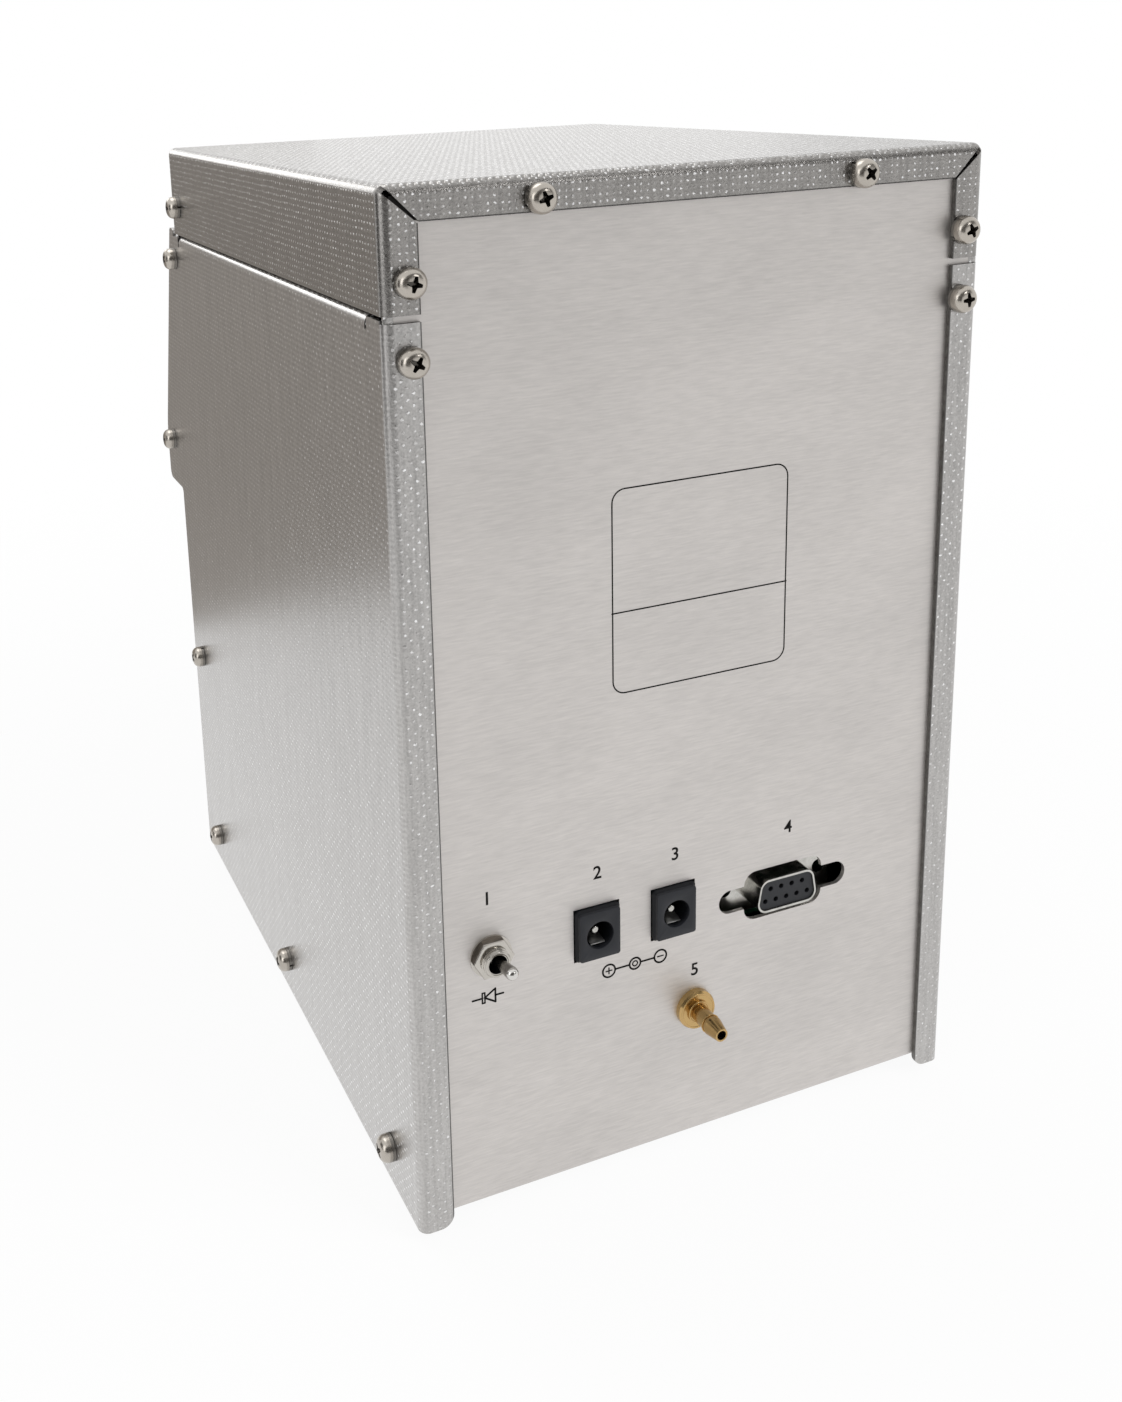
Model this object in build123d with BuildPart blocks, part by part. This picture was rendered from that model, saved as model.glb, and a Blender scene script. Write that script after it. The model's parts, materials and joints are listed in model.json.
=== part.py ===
"""Milk analyzer: a bench instrument in a folded sheet-metal case.

Millimetres, +Z up, front towards -Y. The origin lies on the bench, under the middle of the
instrument's outline. Depths are counted forward from the rear flanges of the case and heights
from the lower edge of the side panels, as on the sheet-metal drawings.
"""
from build123d import *
from math import atan2, cos, degrees, hypot, radians, sin, tan
import os

os.makedirs("parts", exist_ok=True)

# Driving dimensions of the whole instrument
body_width = 136.0
body_height = 220.0
nose_depth = 197.0
base_setback = 16.0
cover_setback = 29.0
slope_setback = 23.4
base_depth = nose_depth - base_setback
cover_depth = nose_depth - cover_setback
foot_stand = 3.0
skin = 1.0
plate = 1.0
bend = 2.2
flange_width = 7.5
overrun = 0.5
seat_gap = 0.05
moving_gap = 0.3

half_width = body_width / 2
wall = half_width - skin
inner_bend = bend - skin

# Levels of the case, from the lower edge of the side panels
lid_height = 23.8
lid_gap = 0.4
flange_drop = 1.0
slope_drop = 0.8
tab_rise = 1.6
nose_drop = 86.9
nose_height = 15.6
cover_bottom = body_height - lid_height
side_top = cover_bottom - lid_gap
flange_top = side_top - flange_drop
slope_top = side_top - slope_drop
tab_top = side_top + tab_rise
nose_top = body_height - nose_drop
nose_bottom = nose_top - nose_height

# Depths of the sloping front, from the rear flanges
slope_top_depth = nose_depth - slope_setback
slope_rise = slope_top - nose_top
slope_lean = degrees(atan2(slope_setback, slope_rise))

# Screws with pan heads, lock washers under them and round clinch nuts behind the sheet
screw_radius = 1.45
screw_hole = 1.6
head_radius = 3.0
head_height = 2.4
head_round = 1.3
washer_radius = 2.85
washer_height = 0.8
nut_radius = 2.7
nut_height = 2.4
nut_bore = screw_radius + seat_gap
sheet_stack = skin + plate
screw_tip = 1.2

# Power switch and air nipple, placed first because one of them is the rearmost point
nipple_reach = 10.0
switch_inset = 18.1
switch_x = half_width - switch_inset
switch_z = 61.2
switch_tilt = 10.0
bushing_stand = 3.6
pivot_below_mouth = 3.5
lever_length = 8.8
lever_tip_radius = 1.4
panel_depth = skin
mouth_depth = panel_depth - bushing_stand
pivot_depth = mouth_depth + pivot_below_mouth
tip_centre = lever_length - lever_tip_radius
lever_reach = tip_centre * cos(radians(switch_tilt)) + lever_tip_radius - pivot_depth
rear_reach = max(nipple_reach, lever_reach)

# The rear flanges' plane, with the outline centred on the origin
y_back = (nose_depth - rear_reach) / 2


def spot(depth, height):
    """Y and Z of a point of a side view, from its depth and its height."""
    return (y_back - depth, foot_stand + height)


def rear_plane(depth):
    """Upright plane across the instrument; solids drawn on it grow forward."""
    return Plane.XZ.offset(depth - y_back)


def side_plane(x):
    """Upright plane along the instrument; solids drawn on it grow towards +X."""
    return Plane.YZ.offset(x)


def floor_plane(height):
    """Level plane; solids drawn on it grow upward."""
    return Plane.XY.offset(foot_stand + height)


def turning_plane(x, height):
    """Plane for a turned piece whose axis runs front to back: radius across, depth along."""
    return Plane(origin=(x, y_back, foot_stand + height), x_dir=(1, 0, 0), z_dir=(0, 0, -1))


def turning_axis(x, height):
    """Axis of a turned piece that runs front to back."""
    return Axis((x, y_back, foot_stand + height), (0, 1, 0))


def rear_seat(x, height, depth=0):
    """Seat of a fastener on a rear face, with its head towards the back."""
    return Plane(origin=(x, y_back - depth, foot_stand + height), z_dir=(0, 1, 0))


def side_seat(depth, height, side):
    """Seat of a fastener on a side face, with its head outward."""
    return Plane(origin=(side * half_width, *spot(depth, height)), z_dir=(side, 0, 0))


def save(piece, name):
    """Label a finished piece and write it."""
    piece.part.label = name
    export_step(piece.part, f"parts/{name}.step")


# Places of the case screws
rim_screw_x = 36.3
rim_screw_drop = 4.4
flange_screw_inset = 5.3
return_screw_rise = 6.0
body_screw_drop = 6.8
cover_screw_inset = 8.6
cover_screw_rise = 7.9
foot_row_z = 9.5
console_screw_gap = 0.4
console_screw_drop = 5.5
nose_screw_inset = 8.7
nose_screw_drop = 1.6
front_screw_inset = 10.3
front_screw_z = 66.7
tray_screw_front = 16.4
tray_screw_middle = 93.1
tray_screw_rear = 16.6
tray_screw_depths = (base_depth - tray_screw_front, tray_screw_middle, tray_screw_rear)
rim_screw_z = body_height - rim_screw_drop
flange_screw_x = half_width - flange_screw_inset
return_screw_z = cover_bottom + return_screw_rise
body_screw_z = flange_top - body_screw_drop
cover_side_screw = (cover_depth - cover_screw_inset, cover_bottom + cover_screw_rise)
upper_console_screw = (cover_depth + console_screw_gap, flange_top - console_screw_drop)
nose_screw = (nose_depth - nose_screw_inset, nose_top - nose_screw_drop)
front_screw = (base_depth - front_screw_inset, front_screw_z)
tray_screws = [(depth, foot_row_z) for depth in tray_screw_depths]
side_screws = (upper_console_screw, nose_screw, front_screw, *tray_screws)
cover_rear_seats = [rear_seat(x, return_screw_z) for x in (-flange_screw_x, flange_screw_x)]
cover_rear_seats += [rear_seat(x, rim_screw_z) for x in (-rim_screw_x, rim_screw_x)]
cover_side_seats = [side_seat(*cover_side_screw, side) for side in (-1, 1)]
body_rear_seats = [rear_seat(x, body_screw_z) for x in (-flange_screw_x, flange_screw_x)]
body_side_seats = [side_seat(*place, side) for place in side_screws for side in (-1, 1)]

# Top cover: a drawn lid with folded returns, mitred where the rim meets them
crown_bend = 2.0
rim_height = 7.0
mitre_gap = 0.4
mitre_mouth = 1.2
mitre_depth = 1.5
window_x = half_width - flange_width
window_top = body_height - rim_height
mitre_end_inset = 0.65

mitre_run = flange_width - mitre_end_inset
mitre_rise = rim_height - mitre_end_inset
mitre_length = hypot(mitre_run, mitre_rise)
mitre_turn = atan2(mitre_rise, mitre_run)


def mitre_point(along, across):
    """X and Z of a point of the mitre, from the window's corner along it and across it."""
    x = window_x + along * cos(mitre_turn) - across * sin(mitre_turn)
    return (x, foot_stand + window_top + along * sin(mitre_turn) + across * cos(mitre_turn))


mitre_wedge = (
    mitre_point(-mitre_gap, -mitre_gap / 2),
    mitre_point(mitre_length, -mitre_mouth / 2),
    mitre_point(mitre_length, mitre_mouth / 2),
    mitre_point(-mitre_gap, mitre_gap / 2),
)

with BuildPart() as top_cover:
    with BuildSketch(floor_plane(cover_bottom)):
        with Locations((0, y_back - cover_depth / 2)):
            Rectangle(body_width, cover_depth)
    extrude(amount=body_height - cover_bottom)
    fillet(top_cover.edges().filter_by(Axis.Z), radius=bend)
    fillet(top_cover.faces().sort_by(Axis.Z)[-1].edges(), radius=crown_bend)
    offset(amount=-skin, openings=top_cover.faces().sort_by(Axis.Z)[0])
    with BuildSketch(rear_plane(-overrun)):
        opening_height = window_top - cover_bottom + overrun
        with Locations((0, foot_stand + window_top - opening_height / 2)):
            Rectangle(2 * window_x, opening_height)
    extrude(amount=cover_depth + 2 * overrun, mode=Mode.SUBTRACT)
    for mitre_plane, forward in ((rear_plane(0), 1), (rear_plane(cover_depth), -1)):
        with BuildSketch(mitre_plane):
            with BuildLine():
                Polyline(*mitre_wedge, close=True)
            make_face()
            mirror(about=Plane.YZ)
        extrude(amount=forward * mitre_depth, mode=Mode.SUBTRACT)
    with BuildSketch(rear_plane(0)):
        with Locations(*[(x, foot_stand + return_screw_z) for x in (-flange_screw_x, flange_screw_x)]):
            Circle(screw_hole)
        with Locations(*[(x, foot_stand + rim_screw_z) for x in (-rim_screw_x, rim_screw_x)]):
            Circle(screw_hole)
    extrude(amount=skin + overrun, mode=Mode.SUBTRACT)
    with BuildSketch(Plane.YZ):
        with Locations(spot(*cover_side_screw)):
            Circle(screw_hole)
    extrude(amount=half_width + overrun, both=True, mode=Mode.SUBTRACT)
save(top_cover, "top_cover")

# Side panels: a plate with a folded rear flange and a folded top flange between two reliefs
front_corner = 3.0
step_corner = 1.5
nose_corner = 2.5
nose_round = 25.0
tab_corner = 1.5
tab_width = 3.9
end_tab_height = 0.4
relief = 1.0
relief_depth = 0.8
top_flange_start = 10.0
top_flange_inset = 6.0
top_flange_width = 8.0
flange_lap = 1.0
tab_slope = (tab_top - slope_top) * tan(radians(slope_lean))

top_flange_end = cover_depth - top_flange_inset
tab_front = slope_top_depth - tab_slope
tab_rear = tab_front - tab_width
fold_line = side_top - bend
end_tab = side_top - end_tab_height
side_outline = (
    spot(bend, 0),
    spot(base_depth, 0),
    spot(base_depth, nose_bottom),
    spot(nose_depth, nose_bottom),
    spot(nose_depth, nose_top),
    spot(tab_front, tab_top),
    spot(tab_rear, tab_top),
    spot(tab_rear, end_tab),
    spot(top_flange_end + relief, end_tab),
    spot(top_flange_end + relief, fold_line - relief_depth),
    spot(top_flange_end, fold_line - relief_depth),
    spot(top_flange_end, fold_line),
    spot(top_flange_start, fold_line),
    spot(top_flange_start, fold_line - relief_depth),
    spot(top_flange_start - relief, fold_line - relief_depth),
    spot(top_flange_start - relief, end_tab),
    spot(bend, end_tab),
)
side_corners = [0, front_corner, step_corner, nose_corner, nose_round, tab_corner, tab_corner]
side_corners += [0] * (len(side_outline) - len(side_corners))

with BuildPart() as side_panel_right:
    with BuildSketch(side_plane(wall)):
        with BuildLine():
            FilletPolyline(*side_outline, radius=side_corners, close=True)
        make_face()
    extrude(amount=skin)
    with BuildSketch(floor_plane(0)):
        with BuildLine():
            rear_fold = FilletPolyline(
                (half_width, y_back - bend - flange_lap),
                (half_width, y_back),
                (half_width - flange_width, y_back),
                radius=bend,
            )
            offset(rear_fold, amount=skin, side=Side.LEFT, closed=True)
        make_face()
    extrude(amount=flange_top)
    flange_corners = side_panel_right.edges().filter_by(Axis.Y)
    fillet(flange_corners.sort_by_distance((window_x, y_back, foot_stand))[0], radius=front_corner)
    with BuildSketch(rear_plane(top_flange_start)):
        with BuildLine():
            top_fold = FilletPolyline(
                (half_width, foot_stand + fold_line - flange_lap),
                (half_width, foot_stand + side_top),
                (half_width - top_flange_width, foot_stand + side_top),
                radius=bend,
            )
            offset(top_fold, amount=skin, side=Side.LEFT, closed=True)
        make_face()
    extrude(amount=top_flange_end - top_flange_start)
    with BuildSketch(side_plane(wall - overrun)):
        with Locations(*[spot(*place) for place in side_screws]):
            Circle(screw_hole)
    extrude(amount=skin + 2 * overrun, mode=Mode.SUBTRACT)
    with BuildSketch(rear_plane(-overrun)):
        with Locations((flange_screw_x, foot_stand + body_screw_z)):
            Circle(screw_hole)
    extrude(amount=skin + 2 * overrun, mode=Mode.SUBTRACT)
save(side_panel_right, "side_panel_right")

with BuildPart() as side_panel_left:
    mirror(side_panel_right.part, about=Plane.YZ)
save(side_panel_left, "side_panel_left")

# Rear panel: brushed sheet behind the flanges, with its lower edge folded onto the tray
panel_side_gap = 0.2
panel_top_gap = 2.2
panel_bottom = 2.0
lap_depth = 14.0
lap_gap = 1.2
jack_width = 10.6
jack_height = 12.0
jack_window_gap = 0.2
jack_x = (25.2, 6.5)
jack_z = 60.0
switch_hole = 3.1
serial_x = -22.0
serial_z = 58.0
serial_window_width = 20.5
serial_window_height = 11.8
serial_window_corner = 3.0
serial_lobes_width = 33.5
serial_lobes_height = 5.6
barb_x = 1.0
barb_z = 34.5
barb_thread = 3.0
barb_hole = barb_thread + 2 * seat_gap

panel_top = body_height - panel_top_gap
panel_half_width = half_width - bend - panel_side_gap
lap_half_width = panel_half_width - lap_gap
panel_back = panel_depth + plate

with BuildPart() as rear_panel:
    with BuildSketch(Plane.YZ):
        with BuildLine():
            rear_run = FilletPolyline(
                spot(panel_depth, panel_top),
                spot(panel_depth, panel_bottom),
                spot(lap_depth, panel_bottom),
                radius=bend,
            )
            offset(rear_run, amount=plate, side=Side.RIGHT, closed=True)
        make_face()
    extrude(amount=panel_half_width, both=True)
    with BuildSketch(floor_plane(panel_bottom - overrun)):
        lap_notch = panel_half_width - lap_half_width
        notch_depth = lap_depth - panel_back
        notch_y = y_back - panel_back - notch_depth / 2
        for side in (-1, 1):
            with Locations((side * (panel_half_width - lap_notch / 2), notch_y)):
                Rectangle(lap_notch, notch_depth)
    extrude(amount=bend + 2 * overrun, mode=Mode.SUBTRACT)
    with BuildSketch(rear_plane(panel_depth - overrun)):
        with Locations((switch_x, foot_stand + switch_z)):
            Circle(switch_hole)
        with Locations(*[(x, foot_stand + jack_z) for x in jack_x]):
            Rectangle(jack_width + 2 * jack_window_gap, jack_height + 2 * jack_window_gap)
        with Locations((serial_x, foot_stand + serial_z)):
            RectangleRounded(serial_window_width, serial_window_height, serial_window_corner)
            SlotOverall(serial_lobes_width, serial_lobes_height)
        with Locations((barb_x, foot_stand + barb_z)):
            Circle(barb_hole)
        for side in (-1, 1):
            with Locations(
                (side * flange_screw_x, foot_stand + body_screw_z),
                (side * flange_screw_x, foot_stand + return_screw_z),
                (side * rim_screw_x, foot_stand + rim_screw_z),
            ):
                Circle(screw_hole)
    extrude(amount=plate + 2 * overrun, mode=Mode.SUBTRACT)
save(rear_panel, "rear_panel")

# Base tray: a channel under the works, its flanges screwed to the side panels
tray_top = 15.0
tray_bottom = 1.0
tray_start = 4.0
tray_end_gap = 3.0
tray_flange_gap = 11.0
tray_end = base_depth - tray_end_gap
tray_flange_end = base_depth - tray_flange_gap
tray_face = tray_bottom + plate

with BuildPart() as base_tray:
    with BuildSketch(rear_plane(tray_start)):
        with BuildLine():
            tray_run = FilletPolyline(
                (wall, foot_stand + tray_top),
                (wall, foot_stand + tray_bottom),
                (-wall, foot_stand + tray_bottom),
                (-wall, foot_stand + tray_top),
                radius=bend,
            )
            offset(tray_run, amount=plate, side=Side.RIGHT, closed=True)
        make_face()
    extrude(amount=tray_end - tray_start)
    with BuildSketch(Plane.YZ):
        notch_bottom = tray_bottom + bend
        notch_top = tray_top + overrun
        with Locations(spot((tray_flange_end + tray_end + overrun) / 2, (notch_bottom + notch_top) / 2)):
            Rectangle(tray_end + overrun - tray_flange_end, notch_top - notch_bottom)
    extrude(amount=half_width, both=True, mode=Mode.SUBTRACT)
    with BuildSketch(Plane.YZ):
        with Locations(*[spot(*place) for place in tray_screws]):
            Circle(screw_hole)
    extrude(amount=half_width, both=True, mode=Mode.SUBTRACT)
save(base_tray, "base_tray")

# Rubber feet under the tray, hollowed where their screws sit
foot_radius = 6.0
foot_inset = 14.0
foot_x = half_width - foot_inset
foot_rear = 18.0
foot_front = 16.0
foot_depths = (foot_rear, base_depth - foot_front)
foot_pocket = 3.0
foot_pocket_depth = 1.5
foot_round = 0.8
foot_height = foot_stand + tray_bottom

with BuildPart() as rubber_feet:
    with Locations(*[(side * foot_x, y_back - depth, 0) for side in (-1, 1) for depth in foot_depths]):
        Cylinder(foot_radius, foot_height, align=(Align.CENTER, Align.CENTER, Align.MIN))
        Cylinder(
            foot_pocket,
            foot_pocket_depth,
            align=(Align.CENTER, Align.CENTER, Align.MIN),
            mode=Mode.SUBTRACT,
        )
    rims = rubber_feet.faces().sort_by(Axis.Z)[:4].edges().filter_by(GeomType.CIRCLE)
    fillet(rims.filter_by(lambda edge: edge.radius > foot_pocket), radius=foot_round)
save(rubber_feet, "rubber_feet")

# Console: one folded brushed sheet from the cover's front rim down to the nose
console_inset = 1.5
upright_gap = 3.0
upright_top = body_height - upright_gap
upright_depth = cover_depth - skin
ledge_z = flange_top
console_front = nose_depth - console_inset
console_bottom = nose_bottom + console_inset
console_back = cover_depth
inside_fold = 1.2
console_nose_round = nose_round - console_inset
slope_inset = console_inset / cos(radians(slope_lean))
ledge_front = slope_top_depth + (slope_top - ledge_z) * tan(radians(slope_lean)) - slope_inset
console_turn = ledge_z - (console_front - ledge_front) / tan(radians(slope_lean))
console_run = (
    spot(upright_depth, upright_top),
    spot(upright_depth, ledge_z),
    spot(ledge_front, ledge_z),
    spot(console_front, console_turn),
    spot(console_front, console_bottom),
    spot(console_back, console_bottom),
)
console_folds = [inside_fold, bend, console_nose_round, bend]

# Ears that the console is screwed by: two under the cover and four under the side panels
ear_depth = 14.0
cover_ear_bottom = side_top + skin
cover_ear_top = window_top
side_ear_setback = 8.0
side_ear_back = cover_depth - side_ear_setback
upper_ear_height = 14.4
upper_ear_drop = 2.0
nose_ear_rise = 10.9
upper_ear_top = flange_top - upper_ear_drop
upper_ear = (upper_ear_top - upper_ear_height, upper_ear_top)
nose_ear = (console_bottom, nose_top + nose_ear_rise)
nose_ear_setback = 5.0
nose_ear_back = base_depth - nose_ear_setback

# Window and keys, placed up the slope from its middle
display_v = 12.0
window_width = 64.0
window_height = 26.0
window_corner = 2.0
key_v = -17.0
key_pitch = 22.0
key_places = [(-key_pitch, key_v), (0, key_v), (key_pitch, key_v)]
key_radius = 4.5
key_hole = key_radius + moving_gap

slope_plane = Plane(
    origin=(0, *spot((ledge_front + console_front) / 2, (ledge_z + console_turn) / 2)),
    x_dir=(1, 0, 0),
    z_dir=(0, -cos(radians(slope_lean)), sin(radians(slope_lean))),
)


def slope_layer(inward):
    """Plane parallel to the slope, counted inward from its outer face; solids grow outward."""
    return slope_plane.offset(-inward)


with BuildPart() as console_panel:
    with BuildSketch(Plane.YZ):
        with BuildLine():
            console_line = FilletPolyline(*console_run, radius=console_folds)
            offset(console_line, amount=plate, side=Side.LEFT, closed=True)
        make_face()
    extrude(amount=wall, both=True)
    with BuildSketch(floor_plane(ledge_z + inside_fold)):
        for side in (-1, 1):
            with Locations((side * (wall - bend / 2), y_back - upright_depth + plate)):
                Rectangle(bend, 2 * plate + overrun)
    extrude(amount=upright_top - ledge_z, mode=Mode.SUBTRACT)
    with BuildSketch(floor_plane(cover_ear_bottom)):
        with BuildLine():
            ear_run = FilletPolyline(
                (wall, y_back - upright_depth + ear_depth),
                (wall, y_back - upright_depth),
                (-wall, y_back - upright_depth),
                (-wall, y_back - upright_depth + ear_depth),
                radius=bend,
            )
            offset(ear_run, amount=plate, side=Side.RIGHT, closed=True)
        make_face()
    extrude(amount=cover_ear_top - cover_ear_bottom)
    for (ear_bottom, ear_top), ear_back in ((upper_ear, side_ear_back), (nose_ear, nose_ear_back)):
        for side in (-1, 1):
            with BuildSketch(side_plane(side * wall)):
                with BuildLine():
                    FilletPolyline(
                        spot(side_ear_back, ledge_z),
                        *console_run[2:5],
                        spot(side_ear_back, console_bottom),
                        radius=[0, *console_folds[1:], 0],
                        close=True,
                    )
                make_face()
                with Locations(spot((ear_back + nose_depth) / 2, (ear_bottom + ear_top) / 2)):
                    Rectangle(nose_depth - ear_back, ear_top - ear_bottom, mode=Mode.INTERSECT)
            extrude(amount=-side * plate)
    with BuildSketch(slope_plane):
        with Locations((0, display_v)):
            RectangleRounded(window_width, window_height, window_corner)
        with Locations(*key_places):
            Circle(key_hole)
    extrude(amount=plate + overrun, both=True, mode=Mode.SUBTRACT)
    with BuildSketch(Plane.YZ):
        with Locations(spot(*cover_side_screw), spot(*upper_console_screw), spot(*nose_screw)):
            Circle(screw_hole)
    extrude(amount=half_width, both=True, mode=Mode.SUBTRACT)
save(console_panel, "console_panel")

# Lower front panel: brushed sheet with the mouth of the sample niche
front_inset = 1.5
front_face = base_depth - front_inset
front_lap = 13.0
front_flange = 12.0
front_flange_bottom = 16.0
front_flange_drop = 1.5
front_lower_edge = 4.4
mouth_side = 22.0
mouth_width = body_width - 2 * mouth_side
mouth_corner = 6.0
mouth_bottom = 10.0
mouth_drop = 9.5
front_flange_top = nose_bottom - front_flange_drop
mouth_height = nose_bottom - mouth_drop - mouth_bottom
mouth_middle = mouth_bottom + mouth_height / 2
front_back = front_face - plate

with BuildPart() as lower_front_panel:
    with BuildSketch(Plane.YZ):
        with BuildLine():
            front_run = FilletPolyline(
                spot(front_face - front_lap, console_bottom),
                spot(front_face, console_bottom),
                spot(front_face, panel_bottom),
                spot(front_face - front_lap, panel_bottom),
                radius=bend,
            )
            offset(front_run, amount=plate, side=Side.LEFT, closed=True)
        make_face()
    extrude(amount=lap_half_width, both=True)
    with BuildSketch(rear_plane(front_back)):
        with Locations((0, foot_stand + (front_lower_edge + front_flange_bottom) / 2 - relief / 2)):
            Rectangle(2 * wall, front_flange_bottom - front_lower_edge - relief)
    extrude(amount=plate)
    with BuildSketch(floor_plane(front_flange_bottom)):
        with BuildLine():
            flange_run = FilletPolyline(
                (wall, y_back - front_face + front_flange),
                (wall, y_back - front_face),
                (-wall, y_back - front_face),
                (-wall, y_back - front_face + front_flange),
                radius=bend,
            )
            offset(flange_run, amount=plate, side=Side.RIGHT, closed=True)
        make_face()
    extrude(amount=front_flange_top - front_flange_bottom)
    with BuildSketch(rear_plane(front_back - overrun)):
        with Locations((0, foot_stand + mouth_middle)):
            RectangleRounded(mouth_width, mouth_height, mouth_corner)
    extrude(amount=plate + 2 * overrun, mode=Mode.SUBTRACT)
    with BuildSketch(Plane.YZ):
        with Locations(spot(*front_screw)):
            Circle(screw_hole)
    extrude(amount=half_width, both=True, mode=Mode.SUBTRACT)
save(lower_front_panel, "lower_front_panel")

# Sample niche: a five-sided liner behind the mouth, flanged against the front panel
liner_wall = 1.0
liner_depth = 60.5
liner_back = front_back - liner_depth
liner_flange = 4.6
liner_flange_wall = 1.0
tube_setback = 16.0
tube_depth = liner_back + tube_setback
fitting_stem = 4.0
liner_ceiling = mouth_bottom + mouth_height
liner_width = mouth_width + 2 * liner_wall
liner_height = mouth_height + 2 * liner_wall

with BuildPart() as niche_liner:
    with BuildSketch(rear_plane(liner_back)):
        with Locations((0, foot_stand + mouth_middle)):
            RectangleRounded(liner_width, liner_height, mouth_corner + liner_wall)
    extrude(amount=front_back - liner_back)
    with BuildSketch(rear_plane(front_back - liner_flange_wall)):
        with Locations((0, foot_stand + mouth_middle)):
            RectangleRounded(liner_width + 2 * liner_flange, liner_height + 2 * liner_flange, mouth_corner)
    extrude(amount=liner_flange_wall)
    with BuildSketch(rear_plane(liner_back + liner_wall)):
        with Locations((0, foot_stand + mouth_middle)):
            RectangleRounded(mouth_width, mouth_height, mouth_corner)
    extrude(amount=front_back - liner_back, mode=Mode.SUBTRACT)
    with BuildSketch(floor_plane(liner_ceiling - overrun)):
        with Locations((0, y_back - tube_depth)):
            Circle(fitting_stem + 2 * seat_gap)
    extrude(amount=liner_wall + 2 * overrun, mode=Mode.SUBTRACT)
save(niche_liner, "niche_liner")

# Sample intake: a steel tube hanging in the niche from a bulkhead fitting
tube_radius = 2.0
tube_bore = 1.2
tube_bottom = 24.0
tube_stand = 19.0
fitting_flange = 6.0
fitting_flange_height = 2.0
fitting_stand = 8.0
fitting_round = 0.6
intake_nut_across = 11.0
intake_nut_height = 3.0
tube_top = liner_ceiling + tube_stand
fitting_top = liner_ceiling + fitting_stand

with BuildPart() as intake_tube:
    with BuildSketch(floor_plane(tube_bottom)):
        with Locations((0, y_back - tube_depth)):
            Circle(tube_radius)
            Circle(tube_bore, mode=Mode.SUBTRACT)
    extrude(amount=tube_top - tube_bottom)
save(intake_tube, "intake_tube")

with BuildPart() as intake_fitting:
    with BuildSketch(floor_plane(liner_ceiling - fitting_flange_height)):
        with Locations((0, y_back - tube_depth)):
            Circle(fitting_flange)
    extrude(amount=fitting_flange_height)
    fillet(intake_fitting.edges().sort_by(Axis.Z)[0], radius=fitting_round)
    with BuildSketch(floor_plane(liner_ceiling)):
        with Locations((0, y_back - tube_depth)):
            Circle(fitting_stem)
    extrude(amount=fitting_top - liner_ceiling)
    with BuildSketch(floor_plane(tube_bottom)):
        with Locations((0, y_back - tube_depth)):
            Circle(tube_radius + seat_gap)
    extrude(amount=tube_top - tube_bottom, mode=Mode.SUBTRACT)
save(intake_fitting, "intake_fitting")

with BuildPart() as intake_nut:
    with BuildSketch(floor_plane(liner_ceiling + liner_wall)):
        with Locations((0, y_back - tube_depth)):
            RegularPolygon(intake_nut_across / 2, 6, major_radius=False)
            Circle(fitting_stem + seat_gap, mode=Mode.SUBTRACT)
    extrude(amount=intake_nut_height)
save(intake_nut, "intake_nut")

# Display stack behind the console's window
pane_lap = 3.0
pane_width = window_width + 2 * pane_lap
pane_height = window_height + 2 * pane_lap
pane_thickness = 1.5
bezel_height = 31.0
bezel_depth = 6.5
bezel_wall = 0.6
bezel_lip = 4.0
cell_gap = 0.1
lcd_thickness = 2.9
board_thickness = 1.6
display_board_margin = 7.0
display_board_height = 38.0
display_post_margin = 3.0
display_post_v = 15.5
post_radius = 2.75
display_board_width = pane_width + 2 * display_board_margin
display_post_x = pane_width / 2 + display_post_margin
pane_back = plate + pane_thickness
bezel_back = pane_back + bezel_depth
board_back = bezel_back + board_thickness
display_posts = [
    (x, display_v + v)
    for x in (-display_post_x, display_post_x)
    for v in (-display_post_v, display_post_v)
]

with BuildPart() as display_window:
    with BuildSketch(slope_layer(pane_back)):
        with Locations((0, display_v)):
            RectangleRounded(pane_width, pane_height, window_corner)
    extrude(amount=pane_thickness)
save(display_window, "display_window")

with BuildPart() as display_bezel:
    with BuildSketch(slope_layer(bezel_back)):
        with Locations((0, display_v)):
            Rectangle(pane_width, bezel_height)
    extrude(amount=bezel_depth)
    with BuildSketch(slope_layer(bezel_back)):
        with Locations((0, display_v)):
            Rectangle(pane_width - 2 * bezel_wall, bezel_height - 2 * bezel_wall)
    extrude(amount=bezel_depth - bezel_wall, mode=Mode.SUBTRACT)
    with BuildSketch(slope_layer(bezel_back)):
        with Locations((0, display_v)):
            Rectangle(pane_width - 2 * bezel_lip, bezel_height - 2 * bezel_lip)
    extrude(amount=bezel_depth, mode=Mode.SUBTRACT)
save(display_bezel, "display_bezel")

lcd_front = pane_back + bezel_wall
lcd_width = pane_width - 2 * bezel_wall - 2 * cell_gap
lcd_height = bezel_height - 2 * bezel_wall - 2 * cell_gap

with BuildPart() as display_glass:
    with BuildSketch(slope_layer(lcd_front + lcd_thickness)):
        with Locations((0, display_v)):
            Rectangle(lcd_width, lcd_height)
    extrude(amount=lcd_thickness)
save(display_glass, "display_glass")

with BuildPart() as display_backlight:
    with BuildSketch(slope_layer(bezel_back)):
        with Locations((0, display_v)):
            Rectangle(lcd_width, lcd_height)
    extrude(amount=bezel_back - lcd_front - lcd_thickness)
save(display_backlight, "display_backlight")

with BuildPart() as display_board:
    with BuildSketch(slope_layer(board_back)):
        with Locations((0, display_v)):
            Rectangle(display_board_width, display_board_height)
        with Locations(*display_posts):
            Circle(screw_hole, mode=Mode.SUBTRACT)
    extrude(amount=board_thickness)
save(display_board, "display_board")

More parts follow.
